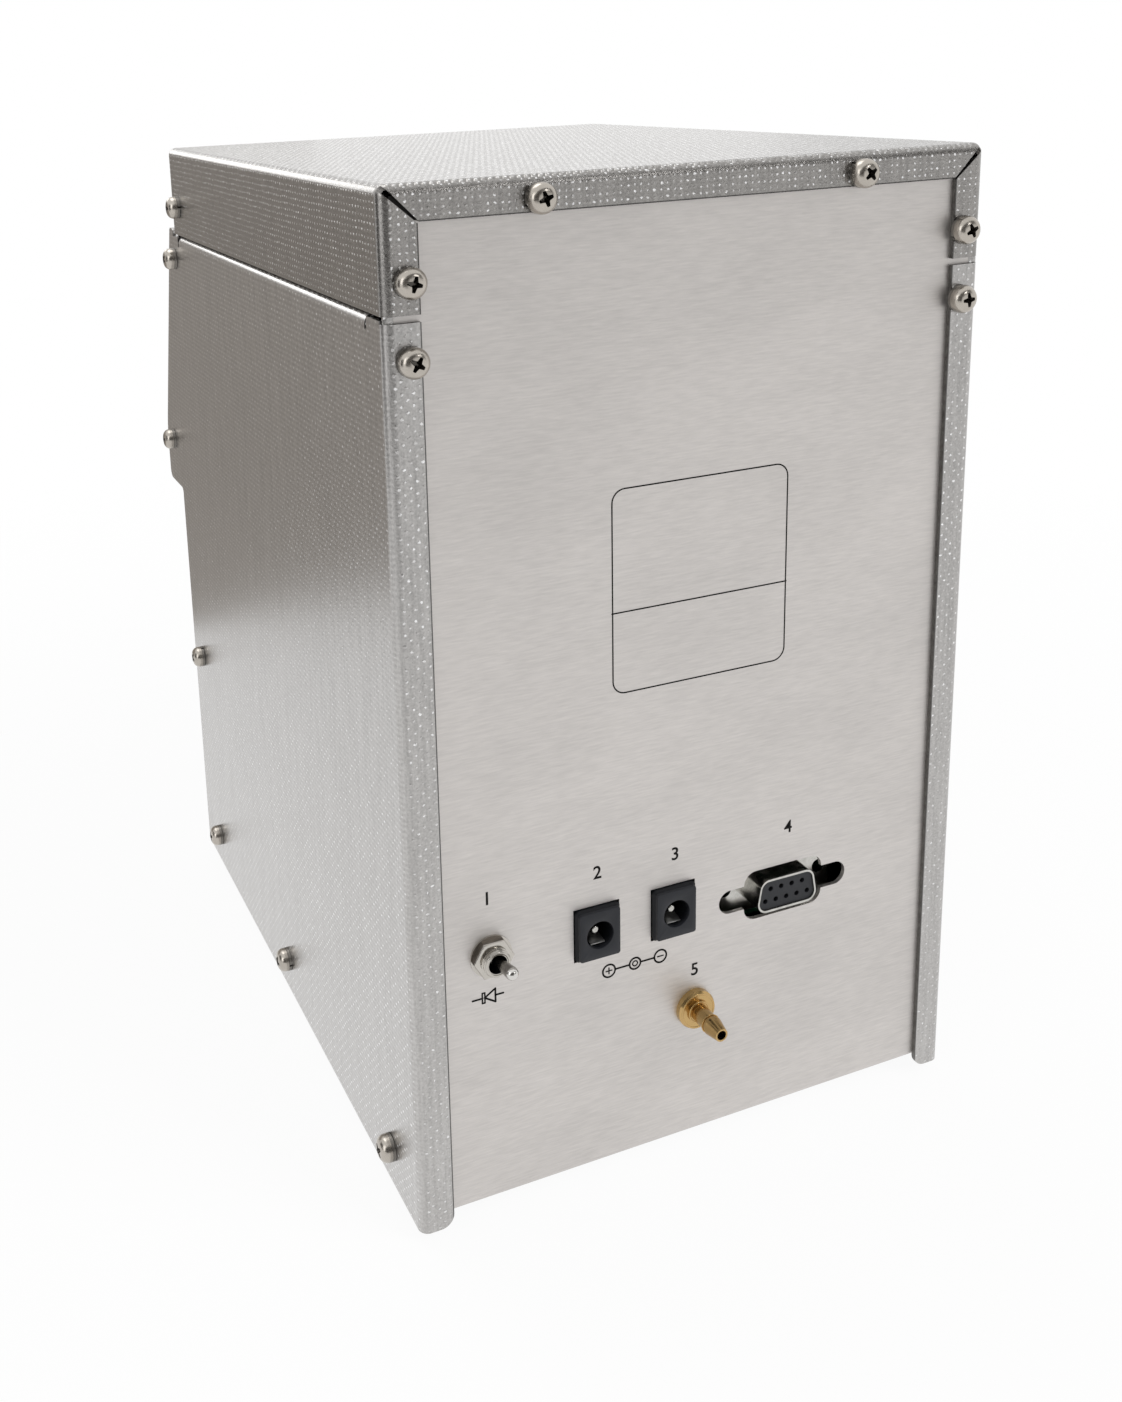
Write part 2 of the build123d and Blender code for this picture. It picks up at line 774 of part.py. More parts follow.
# Keys: caps that slide in the console over the switches of a small board
key_post_reach = 11.0
key_board_edge = 4.0
key_board_height = 14.0
key_post_x = key_pitch + key_post_reach
key_board_width = 2 * (key_post_x + key_board_edge)
key_stand = 1.5
key_crown = 0.8
key_flange = 6.0
key_flange_thickness = 1.0
key_nub = 2.0
key_nub_length = 1.3
key_travel = 0.8
plunger_gap = 0.1
switch_side = 6.0
plunger_radius = 1.75
plunger_height = 1.0
key_posts = [(x, key_v) for x in (-key_post_x, key_post_x)]
key_flange_front = plate + moving_gap
key_flange_back = key_flange_front + key_flange_thickness
key_nub_end = key_flange_back + key_nub_length
plunger_front = key_nub_end + key_travel + plunger_gap

for key_name, key_place in zip(("key_left", "key_middle", "key_right"), key_places):
    with BuildPart() as key_cap:
        with BuildSketch(slope_layer(key_flange_front)):
            with Locations(key_place):
                Circle(key_radius)
        extrude(amount=key_flange_front + key_stand)
        crown = key_cap.edges().filter_by(GeomType.CIRCLE)
        crown_point = slope_plane.from_local_coords((*key_place, key_stand))
        fillet(crown.sort_by_distance(crown_point)[0], radius=key_crown)
        with BuildSketch(slope_layer(key_flange_back)):
            with Locations(key_place):
                Circle(key_flange)
        extrude(amount=key_flange_thickness)
        with BuildSketch(slope_layer(key_nub_end)):
            with Locations(key_place):
                Circle(key_nub)
        extrude(amount=key_nub_length)
    save(key_cap, key_name)

with BuildPart() as keypad_board:
    with BuildSketch(slope_layer(board_back)):
        with Locations((0, key_v)):
            Rectangle(key_board_width, key_board_height)
        with Locations(*key_posts):
            Circle(screw_hole, mode=Mode.SUBTRACT)
    extrude(amount=board_thickness)
save(keypad_board, "keypad_board")

with BuildPart() as key_switches:
    with BuildSketch(slope_layer(bezel_back)):
        with Locations(*key_places):
            Rectangle(switch_side, switch_side)
    extrude(amount=bezel_back - plunger_front - plunger_height)
    with BuildSketch(slope_layer(bezel_back)):
        with Locations(*key_places):
            Circle(plunger_radius)
    extrude(amount=bezel_back - plunger_front)
save(key_switches, "key_switches")

with BuildPart() as console_spacers:
    with BuildSketch(slope_layer(bezel_back)):
        with Locations(*display_posts, *key_posts):
            Circle(post_radius)
            Circle(nut_bore, mode=Mode.SUBTRACT)
    extrude(amount=bezel_back - plate)
save(console_spacers, "console_spacers")

# Power switch: body, washer, nut and the lever on its ball
switch_body_width = 13.0
switch_body_height = 8.0
switch_body_depth = 10.0
bushing_radius = 3.0
switch_bore = 2.1
lever_ball = 2.02
lever_root = 1.05
lever_shoulder = 3.0
lever_tail = 2.6
lever_tail_radius = 0.8
switch_bore_length = 7.2
lug_pitch = 4.7
lug_width = 2.0
lug_thickness = 0.6
lug_length = 4.0
switch_washer_radius = 4.7
switch_washer_height = 0.4
switch_nut_across = 8.0
switch_nut_height = 1.6
switch_nut_chamfer = 0.45
bushing_chamfer = 0.4
switch_axis = turning_axis(switch_x, switch_z)
lug_places = [(switch_x + step * lug_pitch, foot_stand + switch_z) for step in (-1, 0, 1)]

with BuildPart() as switch_body:
    with BuildSketch(rear_plane(panel_back)):
        with Locations((switch_x, foot_stand + switch_z)):
            Rectangle(switch_body_width, switch_body_height)
    extrude(amount=switch_body_depth)
    with BuildSketch(turning_plane(switch_x, switch_z)):
        with BuildLine():
            Polyline(
                (0, panel_back),
                (bushing_radius, panel_back),
                (bushing_radius, mouth_depth + bushing_chamfer),
                (bushing_radius - bushing_chamfer, mouth_depth),
                (0, mouth_depth),
                close=True,
            )
        make_face()
    revolve(axis=switch_axis)
    with BuildSketch(rear_plane(mouth_depth)):
        with Locations((switch_x, foot_stand + switch_z)):
            Circle(switch_bore)
    extrude(amount=switch_bore_length, mode=Mode.SUBTRACT)
    with BuildSketch(rear_plane(panel_back + switch_body_depth)):
        with Locations(*lug_places):
            Rectangle(lug_thickness, lug_width)
    extrude(amount=lug_length)
save(switch_body, "switch_body")

with BuildPart() as switch_washer:
    with BuildSketch(rear_plane(panel_depth - switch_washer_height)):
        with Locations((switch_x, foot_stand + switch_z)):
            Circle(switch_washer_radius)
            Circle(bushing_radius + seat_gap, mode=Mode.SUBTRACT)
    extrude(amount=switch_washer_height)
save(switch_washer, "switch_washer")

nut_seat = panel_depth - switch_washer_height
nut_face = nut_seat - switch_nut_height
nut_corner = switch_nut_across / 2 / cos(radians(30))

with BuildPart() as switch_nut:
    with BuildSketch(rear_plane(nut_face)):
        with Locations((switch_x, foot_stand + switch_z)):
            RegularPolygon(switch_nut_across / 2, 6, major_radius=False)
            Circle(bushing_radius + seat_gap, mode=Mode.SUBTRACT)
    extrude(amount=switch_nut_height)
    with BuildSketch(turning_plane(switch_x, switch_z)):
        with BuildLine():
            Polyline(
                (0, nut_seat),
                (nut_corner, nut_seat),
                (nut_corner, nut_face + switch_nut_chamfer),
                (nut_corner - 2 * switch_nut_chamfer, nut_face),
                (0, nut_face),
                close=True,
            )
        make_face()
    revolve(axis=switch_axis, mode=Mode.INTERSECT)
save(switch_nut, "switch_nut")

lever_plane = Plane(
    origin=(switch_x, y_back - pivot_depth, foot_stand + switch_z),
    x_dir=(0, 0, 1),
    z_dir=(-sin(radians(switch_tilt)), cos(radians(switch_tilt)), 0),
)
lever_profile_plane = Plane(
    origin=lever_plane.origin,
    x_dir=lever_plane.x_dir,
    z_dir=lever_plane.x_dir.cross(lever_plane.z_dir),
)

with BuildPart() as switch_lever:
    with BuildSketch(lever_profile_plane):
        with BuildLine():
            Polyline(
                (0, -lever_tail),
                (lever_tail_radius, -lever_tail),
                (lever_root, 0),
                (lever_root, lever_shoulder),
                (lever_tip_radius, tip_centre),
            )
            ThreePointArc(
                (lever_tip_radius, tip_centre),
                (lever_tip_radius * cos(radians(45)), tip_centre + lever_tip_radius * sin(radians(45))),
                (0, lever_length),
            )
            Line((0, lever_length), (0, -lever_tail))
        make_face()
    revolve(axis=Axis(lever_plane.origin, lever_plane.z_dir))
    with Locations(lever_plane):
        Sphere(lever_ball)
save(switch_lever, "switch_lever")

# Power sockets: square housings that stand a little out of the panel, each with its pin
jack_stand = 1.0
jack_end = 14.0
jack_bevel = 0.5
jack_corner = 0.9
jack_mouth = 3.15
jack_mouth_depth = 9.5
jack_pin = 0.95
jack_pin_setback = 1.4
jack_face = panel_depth - jack_stand
jack_places = [(x, foot_stand + jack_z) for x in jack_x]

with BuildPart() as power_sockets:
    with BuildSketch(rear_plane(jack_face)):
        with Locations(*jack_places):
            RectangleRounded(jack_width, jack_height, jack_corner)
    extrude(amount=jack_end - jack_face)
    chamfer(power_sockets.faces().sort_by(Axis.Y)[-2:].edges(), length=jack_bevel)
    with BuildSketch(rear_plane(jack_face)):
        with Locations(*jack_places):
            Circle(jack_mouth)
    extrude(amount=jack_mouth_depth, mode=Mode.SUBTRACT)
save(power_sockets, "power_sockets")

with BuildPart() as socket_pins:
    with BuildSketch(rear_plane(jack_face + jack_pin_setback)):
        with Locations(*jack_places):
            Circle(jack_pin)
    extrude(amount=jack_mouth_depth - jack_pin_setback)
    fillet(socket_pins.edges().sort_by(Axis.Y)[-2:], radius=jack_pin / 2)
save(socket_pins, "socket_pins")

# Serial port: a nine-way socket in a D-shaped shell, held behind its window by the board
shell_width = 16.3
shell_height = 8.0
shell_corner = 2.4
shell_wall = 0.5
shell_slant = 10.0
shell_stand = 1.7
flange_setback = 4.2
serial_flange_width = 30.8
serial_flange_height = 12.5
serial_flange_thickness = 0.8
serial_flange_corner = 1.0
serial_flange_hole = 1.6
serial_hole_x = 12.5
insulator_setback = 0.4
insulator_gap = 0.05
contact_radius = 0.6
contact_depth = 5.0
contact_pitch = 2.77
contact_row = 1.42
block_width = 19.0
block_height = 10.0
shell_face = panel_depth - shell_stand
shell_flange = panel_depth + flange_setback
shell_back = shell_flange + serial_flange_thickness
insulator_face = shell_face + insulator_setback
board_face = jack_end


def port_outline(inset):
    """Outline of the D-shaped port, wide side down, drawn inset from the outer one."""
    lower = shell_width / 2 - inset
    rise = shell_height / 2 - inset
    upper = lower - 2 * rise * tan(radians(shell_slant))
    with BuildLine() as outline:
        FilletPolyline(
            (serial_x - lower, foot_stand + serial_z - rise),
            (serial_x + lower, foot_stand + serial_z - rise),
            (serial_x + upper, foot_stand + serial_z + rise),
            (serial_x - upper, foot_stand + serial_z + rise),
            radius=shell_corner - inset,
            close=True,
        )
    return make_face(outline.edges())


with BuildPart() as serial_shell:
    with BuildSketch(rear_plane(shell_face)):
        port_outline(0)
    extrude(amount=shell_flange - shell_face)
    with BuildSketch(rear_plane(shell_flange)):
        with Locations((serial_x, foot_stand + serial_z)):
            RectangleRounded(serial_flange_width, serial_flange_height, serial_flange_corner)
        with Locations(*[(serial_x + side * serial_hole_x, foot_stand + serial_z) for side in (-1, 1)]):
            Circle(serial_flange_hole, mode=Mode.SUBTRACT)
    extrude(amount=serial_flange_thickness)
    with BuildSketch(rear_plane(shell_face)):
        port_outline(shell_wall)
    extrude(amount=shell_back - shell_face, mode=Mode.SUBTRACT)
save(serial_shell, "serial_shell")

contact_places = [(serial_x + step * contact_pitch, serial_z - contact_row) for step in (-2, -1, 0, 1, 2)]
upper_start = serial_x + contact_pitch / 2
contact_places += [(upper_start + step * contact_pitch, serial_z + contact_row) for step in (-2, -1, 0, 1)]
contact_spots = [(x, foot_stand + z) for x, z in contact_places]

with BuildPart() as serial_insulator:
    with BuildSketch(rear_plane(insulator_face)):
        port_outline(shell_wall + insulator_gap)
    extrude(amount=shell_back - insulator_face)
    with BuildSketch(rear_plane(shell_back)):
        with Locations((serial_x, foot_stand + serial_z)):
            Rectangle(block_width, block_height)
    extrude(amount=board_face - shell_back)
    with BuildSketch(rear_plane(insulator_face)):
        with Locations(*contact_spots):
            Circle(contact_radius)
    extrude(amount=contact_depth, mode=Mode.SUBTRACT)
save(serial_insulator, "serial_insulator")

# Connector board behind the rear panel, on spacers pressed into it
io_left_run = 20.0
io_right_run = 12.8
io_left = serial_x - io_left_run
io_right = jack_x[0] + io_right_run
io_bottom = 44.0
io_top = 76.0
io_post_inset = 4.0
io_posts = [
    (x, foot_stand + z)
    for x in (io_left + io_post_inset, io_right - io_post_inset)
    for z in (io_bottom + io_post_inset, io_top - io_post_inset)
]

with BuildPart() as connector_board:
    with BuildSketch(rear_plane(board_face)):
        with Locations(((io_left + io_right) / 2, foot_stand + (io_bottom + io_top) / 2)):
            Rectangle(io_right - io_left, io_top - io_bottom)
        with Locations(*io_posts):
            Circle(screw_hole, mode=Mode.SUBTRACT)
    extrude(amount=board_thickness)
save(connector_board, "connector_board")

with BuildPart() as connector_spacers:
    with BuildSketch(rear_plane(panel_back)):
        with Locations(*io_posts):
            Circle(post_radius)
            Circle(nut_bore, mode=Mode.SUBTRACT)
    extrude(amount=board_face - panel_back)
save(connector_spacers, "connector_spacers")

# Air nipple: a turned brass bulkhead piece and its nut inside the case
nipple_flange = 4.5
nipple_flange_height = 1.8
nipple_collar = 2.6
nipple_collar_height = 0.4
nipple_shank = 2.0
barb_length = 3.4
barb_radius = 2.2
nipple_tip = 1.5
nipple_bore = 1.1
thread_end = 8.0
inner_nipple_end = 16.0
inner_nipple = 1.5
barb_nut_across = 8.0
barb_nut_height = 2.5
flange_face = panel_depth - nipple_flange_height
collar_face = flange_face - nipple_collar_height
barb_start = barb_length - nipple_reach

with BuildPart() as air_nipple:
    with BuildSketch(turning_plane(barb_x, barb_z)):
        with BuildLine():
            Polyline(
                (nipple_bore, -nipple_reach),
                (nipple_tip, -nipple_reach),
                (barb_radius, barb_start),
                (nipple_shank, barb_start),
                (nipple_shank, collar_face),
                (nipple_collar, collar_face),
                (nipple_collar, flange_face),
                (nipple_flange - fitting_round, flange_face),
                (nipple_flange, flange_face + fitting_round),
                (nipple_flange, panel_depth),
                (barb_thread, panel_depth),
                (barb_thread, thread_end),
                (inner_nipple, thread_end),
                (inner_nipple, inner_nipple_end),
                (nipple_bore, inner_nipple_end),
                close=True,
            )
        make_face()
    revolve(axis=turning_axis(barb_x, barb_z))
save(air_nipple, "air_nipple")

with BuildPart() as air_nipple_nut:
    with BuildSketch(rear_plane(panel_back)):
        with Locations((barb_x, foot_stand + barb_z)):
            RegularPolygon(barb_nut_across / 2, 6, major_radius=False)
            Circle(barb_thread + seat_gap, mode=Mode.SUBTRACT)
    extrude(amount=barb_nut_height)
save(air_nipple_nut, "air_nipple_nut")

# Peristaltic pump: bracket, housing with its track, rotor, rollers, tube, cover and motor
pump_inset = 34.0
pump_x = pump_inset - half_width
pump_z = 45.0
bracket_sheet = 2.0
pump_gap = 10.0
bracket_foot = 22.0
bracket_top = 68.0
pump_width = 40.0
pump_rise = 24.0
pump_drop = 20.0
pump_corner = 4.0
pump_floor = 3.0
pump_wall_depth = 13.0
pump_lid = 2.0
track_radius = 15.5
pump_tube_radius = 2.4
pump_tube_bore = 1.55
shaft_radius = 2.0
shaft_length = 20.0
rotor_hub = 3.3
rotor_disc = 10.0
rotor_disc_thickness = 1.6
rotor_end_gap = 0.5
roller_orbit = 7.3
roller_radius = 3.0
roller_pin = 1.0
roller_count = 3
pump_screw_x = 17.7
pump_screw_rise = 17.0
pump_screw_drop = 16.5
pump_screw_radius = 1.2
pump_screw_head = 2.2
pump_screw_head_height = 1.4
bracket_front = liner_back - pump_gap - pump_lid - pump_wall_depth - pump_floor
bracket_foot_back = bracket_front - bracket_foot
housing_back = bracket_front
floor_front = housing_back + pump_floor
housing_front = floor_front + pump_wall_depth
lid_front = housing_front + pump_lid
tube_layer = (floor_front + housing_front) / 2
turn_radius = track_radius - pump_tube_radius - seat_gap
pump_centre = (pump_x, foot_stand + pump_z)
pump_axis = turning_axis(pump_x, pump_z)
pump_screws_at = [
    (pump_x + side * pump_screw_x, foot_stand + pump_z + height)
    for side in (-1, 1)
    for height in (-pump_screw_drop, pump_screw_rise)
]
rotor_back = floor_front + rotor_end_gap
rotor_front = housing_front - rotor_end_gap
roller_back = rotor_back + rotor_disc_thickness + moving_gap
roller_front = rotor_front - rotor_disc_thickness - moving_gap


def pump_outline():
    """Outline of the pump head, in a sketch that faces it."""
    with Locations((pump_x, foot_stand + pump_z + (pump_rise - pump_drop) / 2)):
        RectangleRounded(pump_width, pump_rise + pump_drop, pump_corner)


with BuildPart() as pump_bracket:
    with BuildSketch(side_plane(pump_x)):
        with BuildLine():
            bracket_run = FilletPolyline(
                spot(bracket_front, bracket_top),
                spot(bracket_front, tray_face),
                spot(bracket_foot_back, tray_face),
                radius=bracket_sheet + inner_bend,
            )
            offset(bracket_run, amount=bracket_sheet, side=Side.LEFT, closed=True)
        make_face()
    extrude(amount=pump_width / 2, both=True)
    with BuildSketch(rear_plane(bracket_front - bracket_sheet - overrun)):
        with Locations(pump_centre):
            Circle(shaft_radius + overrun)
        with Locations(*pump_screws_at):
            Circle(pump_screw_radius + seat_gap)
    extrude(amount=bracket_sheet + 2 * overrun, mode=Mode.SUBTRACT)
save(pump_bracket, "pump_bracket")

with BuildPart() as pump_housing:
    with BuildSketch(rear_plane(housing_back)):
        pump_outline()
    extrude(amount=housing_front - housing_back)
    with BuildSketch(rear_plane(floor_front)):
        with Locations(pump_centre):
            Circle(track_radius)
            Rectangle(2 * track_radius, pump_rise + overrun, align=(Align.CENTER, Align.MIN))
    extrude(amount=pump_wall_depth, mode=Mode.SUBTRACT)
    with BuildSketch(rear_plane(housing_back)):
        with Locations(pump_centre):
            Circle(shaft_radius + seat_gap)
        with Locations(*pump_screws_at):
            Circle(pump_screw_radius + seat_gap)
    extrude(amount=housing_front - housing_back, mode=Mode.SUBTRACT)
save(pump_housing, "pump_housing")

with BuildPart() as pump_lid_plate:
    with BuildSketch(rear_plane(housing_front)):
        pump_outline()
        with Locations(*pump_screws_at):
            Circle(pump_screw_radius + seat_gap, mode=Mode.SUBTRACT)
    extrude(amount=pump_lid)
save(pump_lid_plate, "pump_lid")

with BuildPart() as pump_screws:
    with BuildSketch(rear_plane(bracket_front - bracket_sheet)):
        with Locations(*pump_screws_at):
            Circle(pump_screw_radius)
    extrude(amount=lid_front - bracket_front + bracket_sheet)
    with BuildSketch(rear_plane(lid_front)):
        with Locations(*pump_screws_at):
            Circle(pump_screw_head)
    extrude(amount=pump_screw_head_height)
save(pump_screws, "pump_screws")

with BuildPart() as pump_rotor:
    with BuildSketch(turning_plane(pump_x, pump_z)):
        with BuildLine():
            Polyline(
                (0, rotor_back - shaft_length),
                (shaft_radius, rotor_back - shaft_length),
                (shaft_radius, rotor_back),
                (rotor_disc, rotor_back),
                (rotor_disc, rotor_back + rotor_disc_thickness),
                (rotor_hub, rotor_back + rotor_disc_thickness),
                (rotor_hub, rotor_front - rotor_disc_thickness),
                (rotor_disc, rotor_front - rotor_disc_thickness),
                (rotor_disc, rotor_front),
                (0, rotor_front),
                close=True,
            )
        make_face()
    revolve(axis=pump_axis)
    with BuildSketch(rear_plane(rotor_back)):
        with Locations(pump_centre):
            with PolarLocations(roller_orbit, roller_count):
                Circle(roller_pin)
    extrude(amount=rotor_front - rotor_back)
save(pump_rotor, "pump_rotor")

for roller_index in range(roller_count):
    roller_angle = radians(roller_index * 360 / roller_count)
    roller_centre = (
        pump_centre[0] + roller_orbit * cos(roller_angle),
        pump_centre[1] + roller_orbit * sin(roller_angle),
    )
    with BuildPart() as pump_roller:
        with BuildSketch(rear_plane(roller_back)):
            with Locations(roller_centre):
                Circle(roller_radius)
                Circle(roller_pin + seat_gap, mode=Mode.SUBTRACT)
        extrude(amount=roller_front - roller_back)
    save(pump_roller, f"pump_roller_{roller_index + 1}")

tube_leg = 25.0
tube_legs = [pump_x - turn_radius, pump_x + turn_radius]
leg_top = pump_z + tube_leg

with BuildPart() as pump_tube:
    with BuildLine(rear_plane(tube_layer)) as tube_run:
        Line((tube_legs[0], foot_stand + leg_top), (tube_legs[0], foot_stand + pump_z))
        CenterArc(pump_centre, turn_radius, 180, 180)
        Line((tube_legs[1], foot_stand + pump_z), (tube_legs[1], foot_stand + leg_top))
    with BuildSketch(Plane(origin=tube_run.wires()[0] @ 0, z_dir=tube_run.wires()[0] % 0)):
        Circle(pump_tube_radius)
        Circle(pump_tube_bore, mode=Mode.SUBTRACT)
    sweep(path=tube_run.wires()[0])
save(pump_tube, "pump_tube")

motor_radius = 10.5
gearhead_radius = 12.0
gearhead_length = 18.0
motor_length = 26.0
motor_round = 1.0
motor_boss_radius = 4.0
motor_boss_depth = 2.0
shaft_socket_length = 16.0
motor_lug_x = 6.0
motor_lug_width = 2.8
motor_lug_thickness = 0.5
motor_lug_length = 4.0
gearhead_front = bracket_front - bracket_sheet
gearhead_back = gearhead_front - gearhead_length
motor_back = gearhead_back - motor_length
shaft_socket_back = gearhead_front - shaft_socket_length

with BuildPart() as pump_motor:
    with BuildSketch(rear_plane(motor_back)):
        with Locations(pump_centre):
            Circle(motor_radius)
    extrude(amount=gearhead_back - motor_back)
    fillet(pump_motor.edges().sort_by(Axis.Y)[-1], radius=motor_round)
    with BuildSketch(rear_plane(motor_back - motor_boss_depth)):
        with Locations(pump_centre):
            Circle(motor_boss_radius)
    extrude(amount=motor_boss_depth)
    with BuildSketch(rear_plane(gearhead_back)):
        with Locations(pump_centre):
            Circle(gearhead_radius)
    extrude(amount=gearhead_front - gearhead_back)
    with BuildSketch(rear_plane(shaft_socket_back)):
        with Locations(pump_centre):
            Circle(shaft_radius + seat_gap)
    extrude(amount=gearhead_front - shaft_socket_back, mode=Mode.SUBTRACT)
    with BuildSketch(rear_plane(motor_back - motor_lug_length)):
        with Locations(*[(pump_x + side * motor_lug_x, pump_centre[1]) for side in (-1, 1)]):
            Rectangle(motor_lug_width, motor_lug_thickness)
    extrude(amount=motor_lug_length)
save(pump_motor, "pump_motor")

# Measuring cell: a steel block with a chamber, sounded from both ends and warmed from below
cell_inset = 36.0
cell_gap_front = 23.0
cell_length = 40.0
cell_x = half_width - cell_inset
cell_front = liner_back - cell_gap_front
cell_back = cell_front - cell_length
cell_bottom = 50.0
cell_top = 72.0
cell_width = 18.0
cell_edge = 1.5
chamber_radius = 4.0
cell_inlet_inset = 9.0
cell_inlet_depth = cell_front - cell_inlet_inset
cell_outlet_depth = cell_back + cell_inlet_inset
cell_inlet_radius = 2.0
cell_outlet_radius = 1.5
cell_nipple_height = 9.0
cell_nipple_bore = 0.9
transducer_radius = 8.0
transducer_depth = 6.0
transducer_cap = 5.0
transducer_cap_depth = 2.5
heater_height = 4.0
heater_margin = 5.0
rest_sheet = 1.5
rest_fold = 2.5
rest_inside_fold = 1.0
rest_half_width = 12.0
rest_foot = 8.0
rest_margin = 3.0
cell_z = (cell_bottom + cell_top) / 2
rest_top = cell_bottom - heater_height
rest_foot_top = tray_face + rest_sheet
cell_middle = (cell_front + cell_back) / 2

with BuildPart() as measuring_cell:
    with BuildSketch(rear_plane(cell_back)):
        with Locations((cell_x, foot_stand + cell_z)):
            RectangleRounded(cell_width, cell_top - cell_bottom, cell_edge)
            Circle(chamber_radius, mode=Mode.SUBTRACT)
    extrude(amount=cell_length)
    for nipple_depth, nipple_radius in (
        (cell_inlet_depth, cell_inlet_radius),
        (cell_outlet_depth, cell_outlet_radius),
    ):
        with BuildSketch(floor_plane(cell_top)):
            with Locations((cell_x, y_back - nipple_depth)):
                Circle(nipple_radius)
        extrude(amount=cell_nipple_height)
        with BuildSketch(floor_plane(cell_z)):
            with Locations((cell_x, y_back - nipple_depth)):
                Circle(cell_nipple_bore)
        extrude(amount=cell_top + cell_nipple_height - cell_z, mode=Mode.SUBTRACT)
save(measuring_cell, "measuring_cell")

with BuildPart() as cell_transducers:
    for face_depth, outward in ((cell_back, -1), (cell_front, 1)):
        with BuildSketch(rear_plane(face_depth)):
            with Locations((cell_x, foot_stand + cell_z)):
                Circle(transducer_radius)
        extrude(amount=outward * transducer_depth)
        with BuildSketch(rear_plane(face_depth + outward * transducer_depth)):
            with Locations((cell_x, foot_stand + cell_z)):
                Circle(transducer_cap)
        extrude(amount=outward * transducer_cap_depth)
save(cell_transducers, "cell_transducers")

with BuildPart() as cell_heater:
    with BuildSketch(floor_plane(rest_top)):
        with Locations((cell_x, y_back - cell_middle)):
            Rectangle(cell_width, cell_length - 2 * heater_margin)
    extrude(amount=heater_height)
save(cell_heater, "cell_heater")

with BuildPart() as cell_rest:
    with BuildSketch(rear_plane(cell_back + rest_margin)):
        with BuildLine():
            rest_run = FilletPolyline(
                (cell_x - rest_half_width - rest_foot, foot_stand + rest_foot_top),
                (cell_x - rest_half_width, foot_stand + rest_foot_top),
                (cell_x - rest_half_width, foot_stand + rest_top),
                (cell_x + rest_half_width, foot_stand + rest_top),
                (cell_x + rest_half_width, foot_stand + rest_foot_top),
                (cell_x + rest_half_width + rest_foot, foot_stand + rest_foot_top),
                radius=[rest_inside_fold, rest_fold, rest_fold, rest_inside_fold],
            )
            offset(rest_run, amount=rest_sheet, side=Side.RIGHT, closed=True)
        make_face()
    extrude(amount=cell_length - 2 * rest_margin)
save(cell_rest, "cell_rest")

# Hoses: from the intake to the cell, from the cell to the pump, and from the pump to the nipple
intake_hose_radius = 3.2
intake_hose_bend = 12.0
intake_hose_rise = 23.0
intake_hose_gap = 1.5
hose_radius = 2.5
hose_bend = 8.0
pump_hose_top = 95.0
outlet_hose_top = 85.0
outlet_drop_depth = 42.0
outlet_hose_end = 9.0
connector_flange = 2.6
connector_flange_height = 1.0
connector_nipple = 7.0
connector_bore = 0.9
hose_bore = inner_nipple + seat_gap
intake_hose_start = fitting_top + intake_hose_gap
intake_hose_top = tube_top + intake_hose_rise
hose_lift = leg_top + connector_flange_height
hose_routes = {
    "intake_hose": (
        intake_hose_radius,
        tube_radius + seat_gap,
        intake_hose_bend,
        (
            (0, *spot(tube_depth, intake_hose_start)),
            (0, *spot(tube_depth, intake_hose_top)),
            (cell_x, *spot(cell_inlet_depth, intake_hose_top)),
            (cell_x, *spot(cell_inlet_depth, cell_top)),
        ),
    ),
    "pump_hose": (
        hose_radius,
        hose_bore,
        hose_bend,
        (
            (cell_x, *spot(cell_outlet_depth, cell_top)),
            (cell_x, *spot(cell_outlet_depth, pump_hose_top)),
            (tube_legs[1], *spot(tube_layer, pump_hose_top)),
            (tube_legs[1], *spot(tube_layer, hose_lift)),
        ),
    ),
    "outlet_hose": (
        hose_radius,
        hose_bore,
        hose_bend,
        (
            (tube_legs[0], *spot(tube_layer, hose_lift)),
            (tube_legs[0], *spot(tube_layer, outlet_hose_top)),
            (barb_x, *spot(outlet_drop_depth, outlet_hose_top)),
            (barb_x, *spot(outlet_drop_depth, barb_z)),
            (barb_x, *spot(outlet_hose_end, barb_z)),
        ),
    ),
}

for hose_name, (outer_radius, bore_radius, turn, stops) in hose_routes.items():
    with BuildPart() as hose:
        with BuildLine() as hose_run:
            FilletPolyline(*stops, radius=turn)
        with BuildSketch(Plane(origin=hose_run.wires()[0] @ 0, z_dir=hose_run.wires()[0] % 0)):
            Circle(outer_radius)
            Circle(bore_radius, mode=Mode.SUBTRACT)
        sweep(path=hose_run.wires()[0])
    save(hose, hose_name)

with BuildPart() as hose_connectors:
    with BuildSketch(floor_plane(leg_top - connector_nipple)):
        with Locations(*[(x, y_back - tube_layer) for x in tube_legs]):
            Circle(inner_nipple)
    extrude(amount=2 * connector_nipple + connector_flange_height)
    with BuildSketch(floor_plane(leg_top)):
        with Locations(*[(x, y_back - tube_layer) for x in tube_legs]):
            Circle(connector_flange)
    extrude(amount=connector_flange_height)
    with BuildSketch(floor_plane(leg_top - connector_nipple)):
        with Locations(*[(x, y_back - tube_layer) for x in tube_legs]):
            Circle(connector_bore)
    extrude(amount=2 * connector_nipple + connector_flange_height, mode=Mode.SUBTRACT)
save(hose_connectors, "hose_connectors")

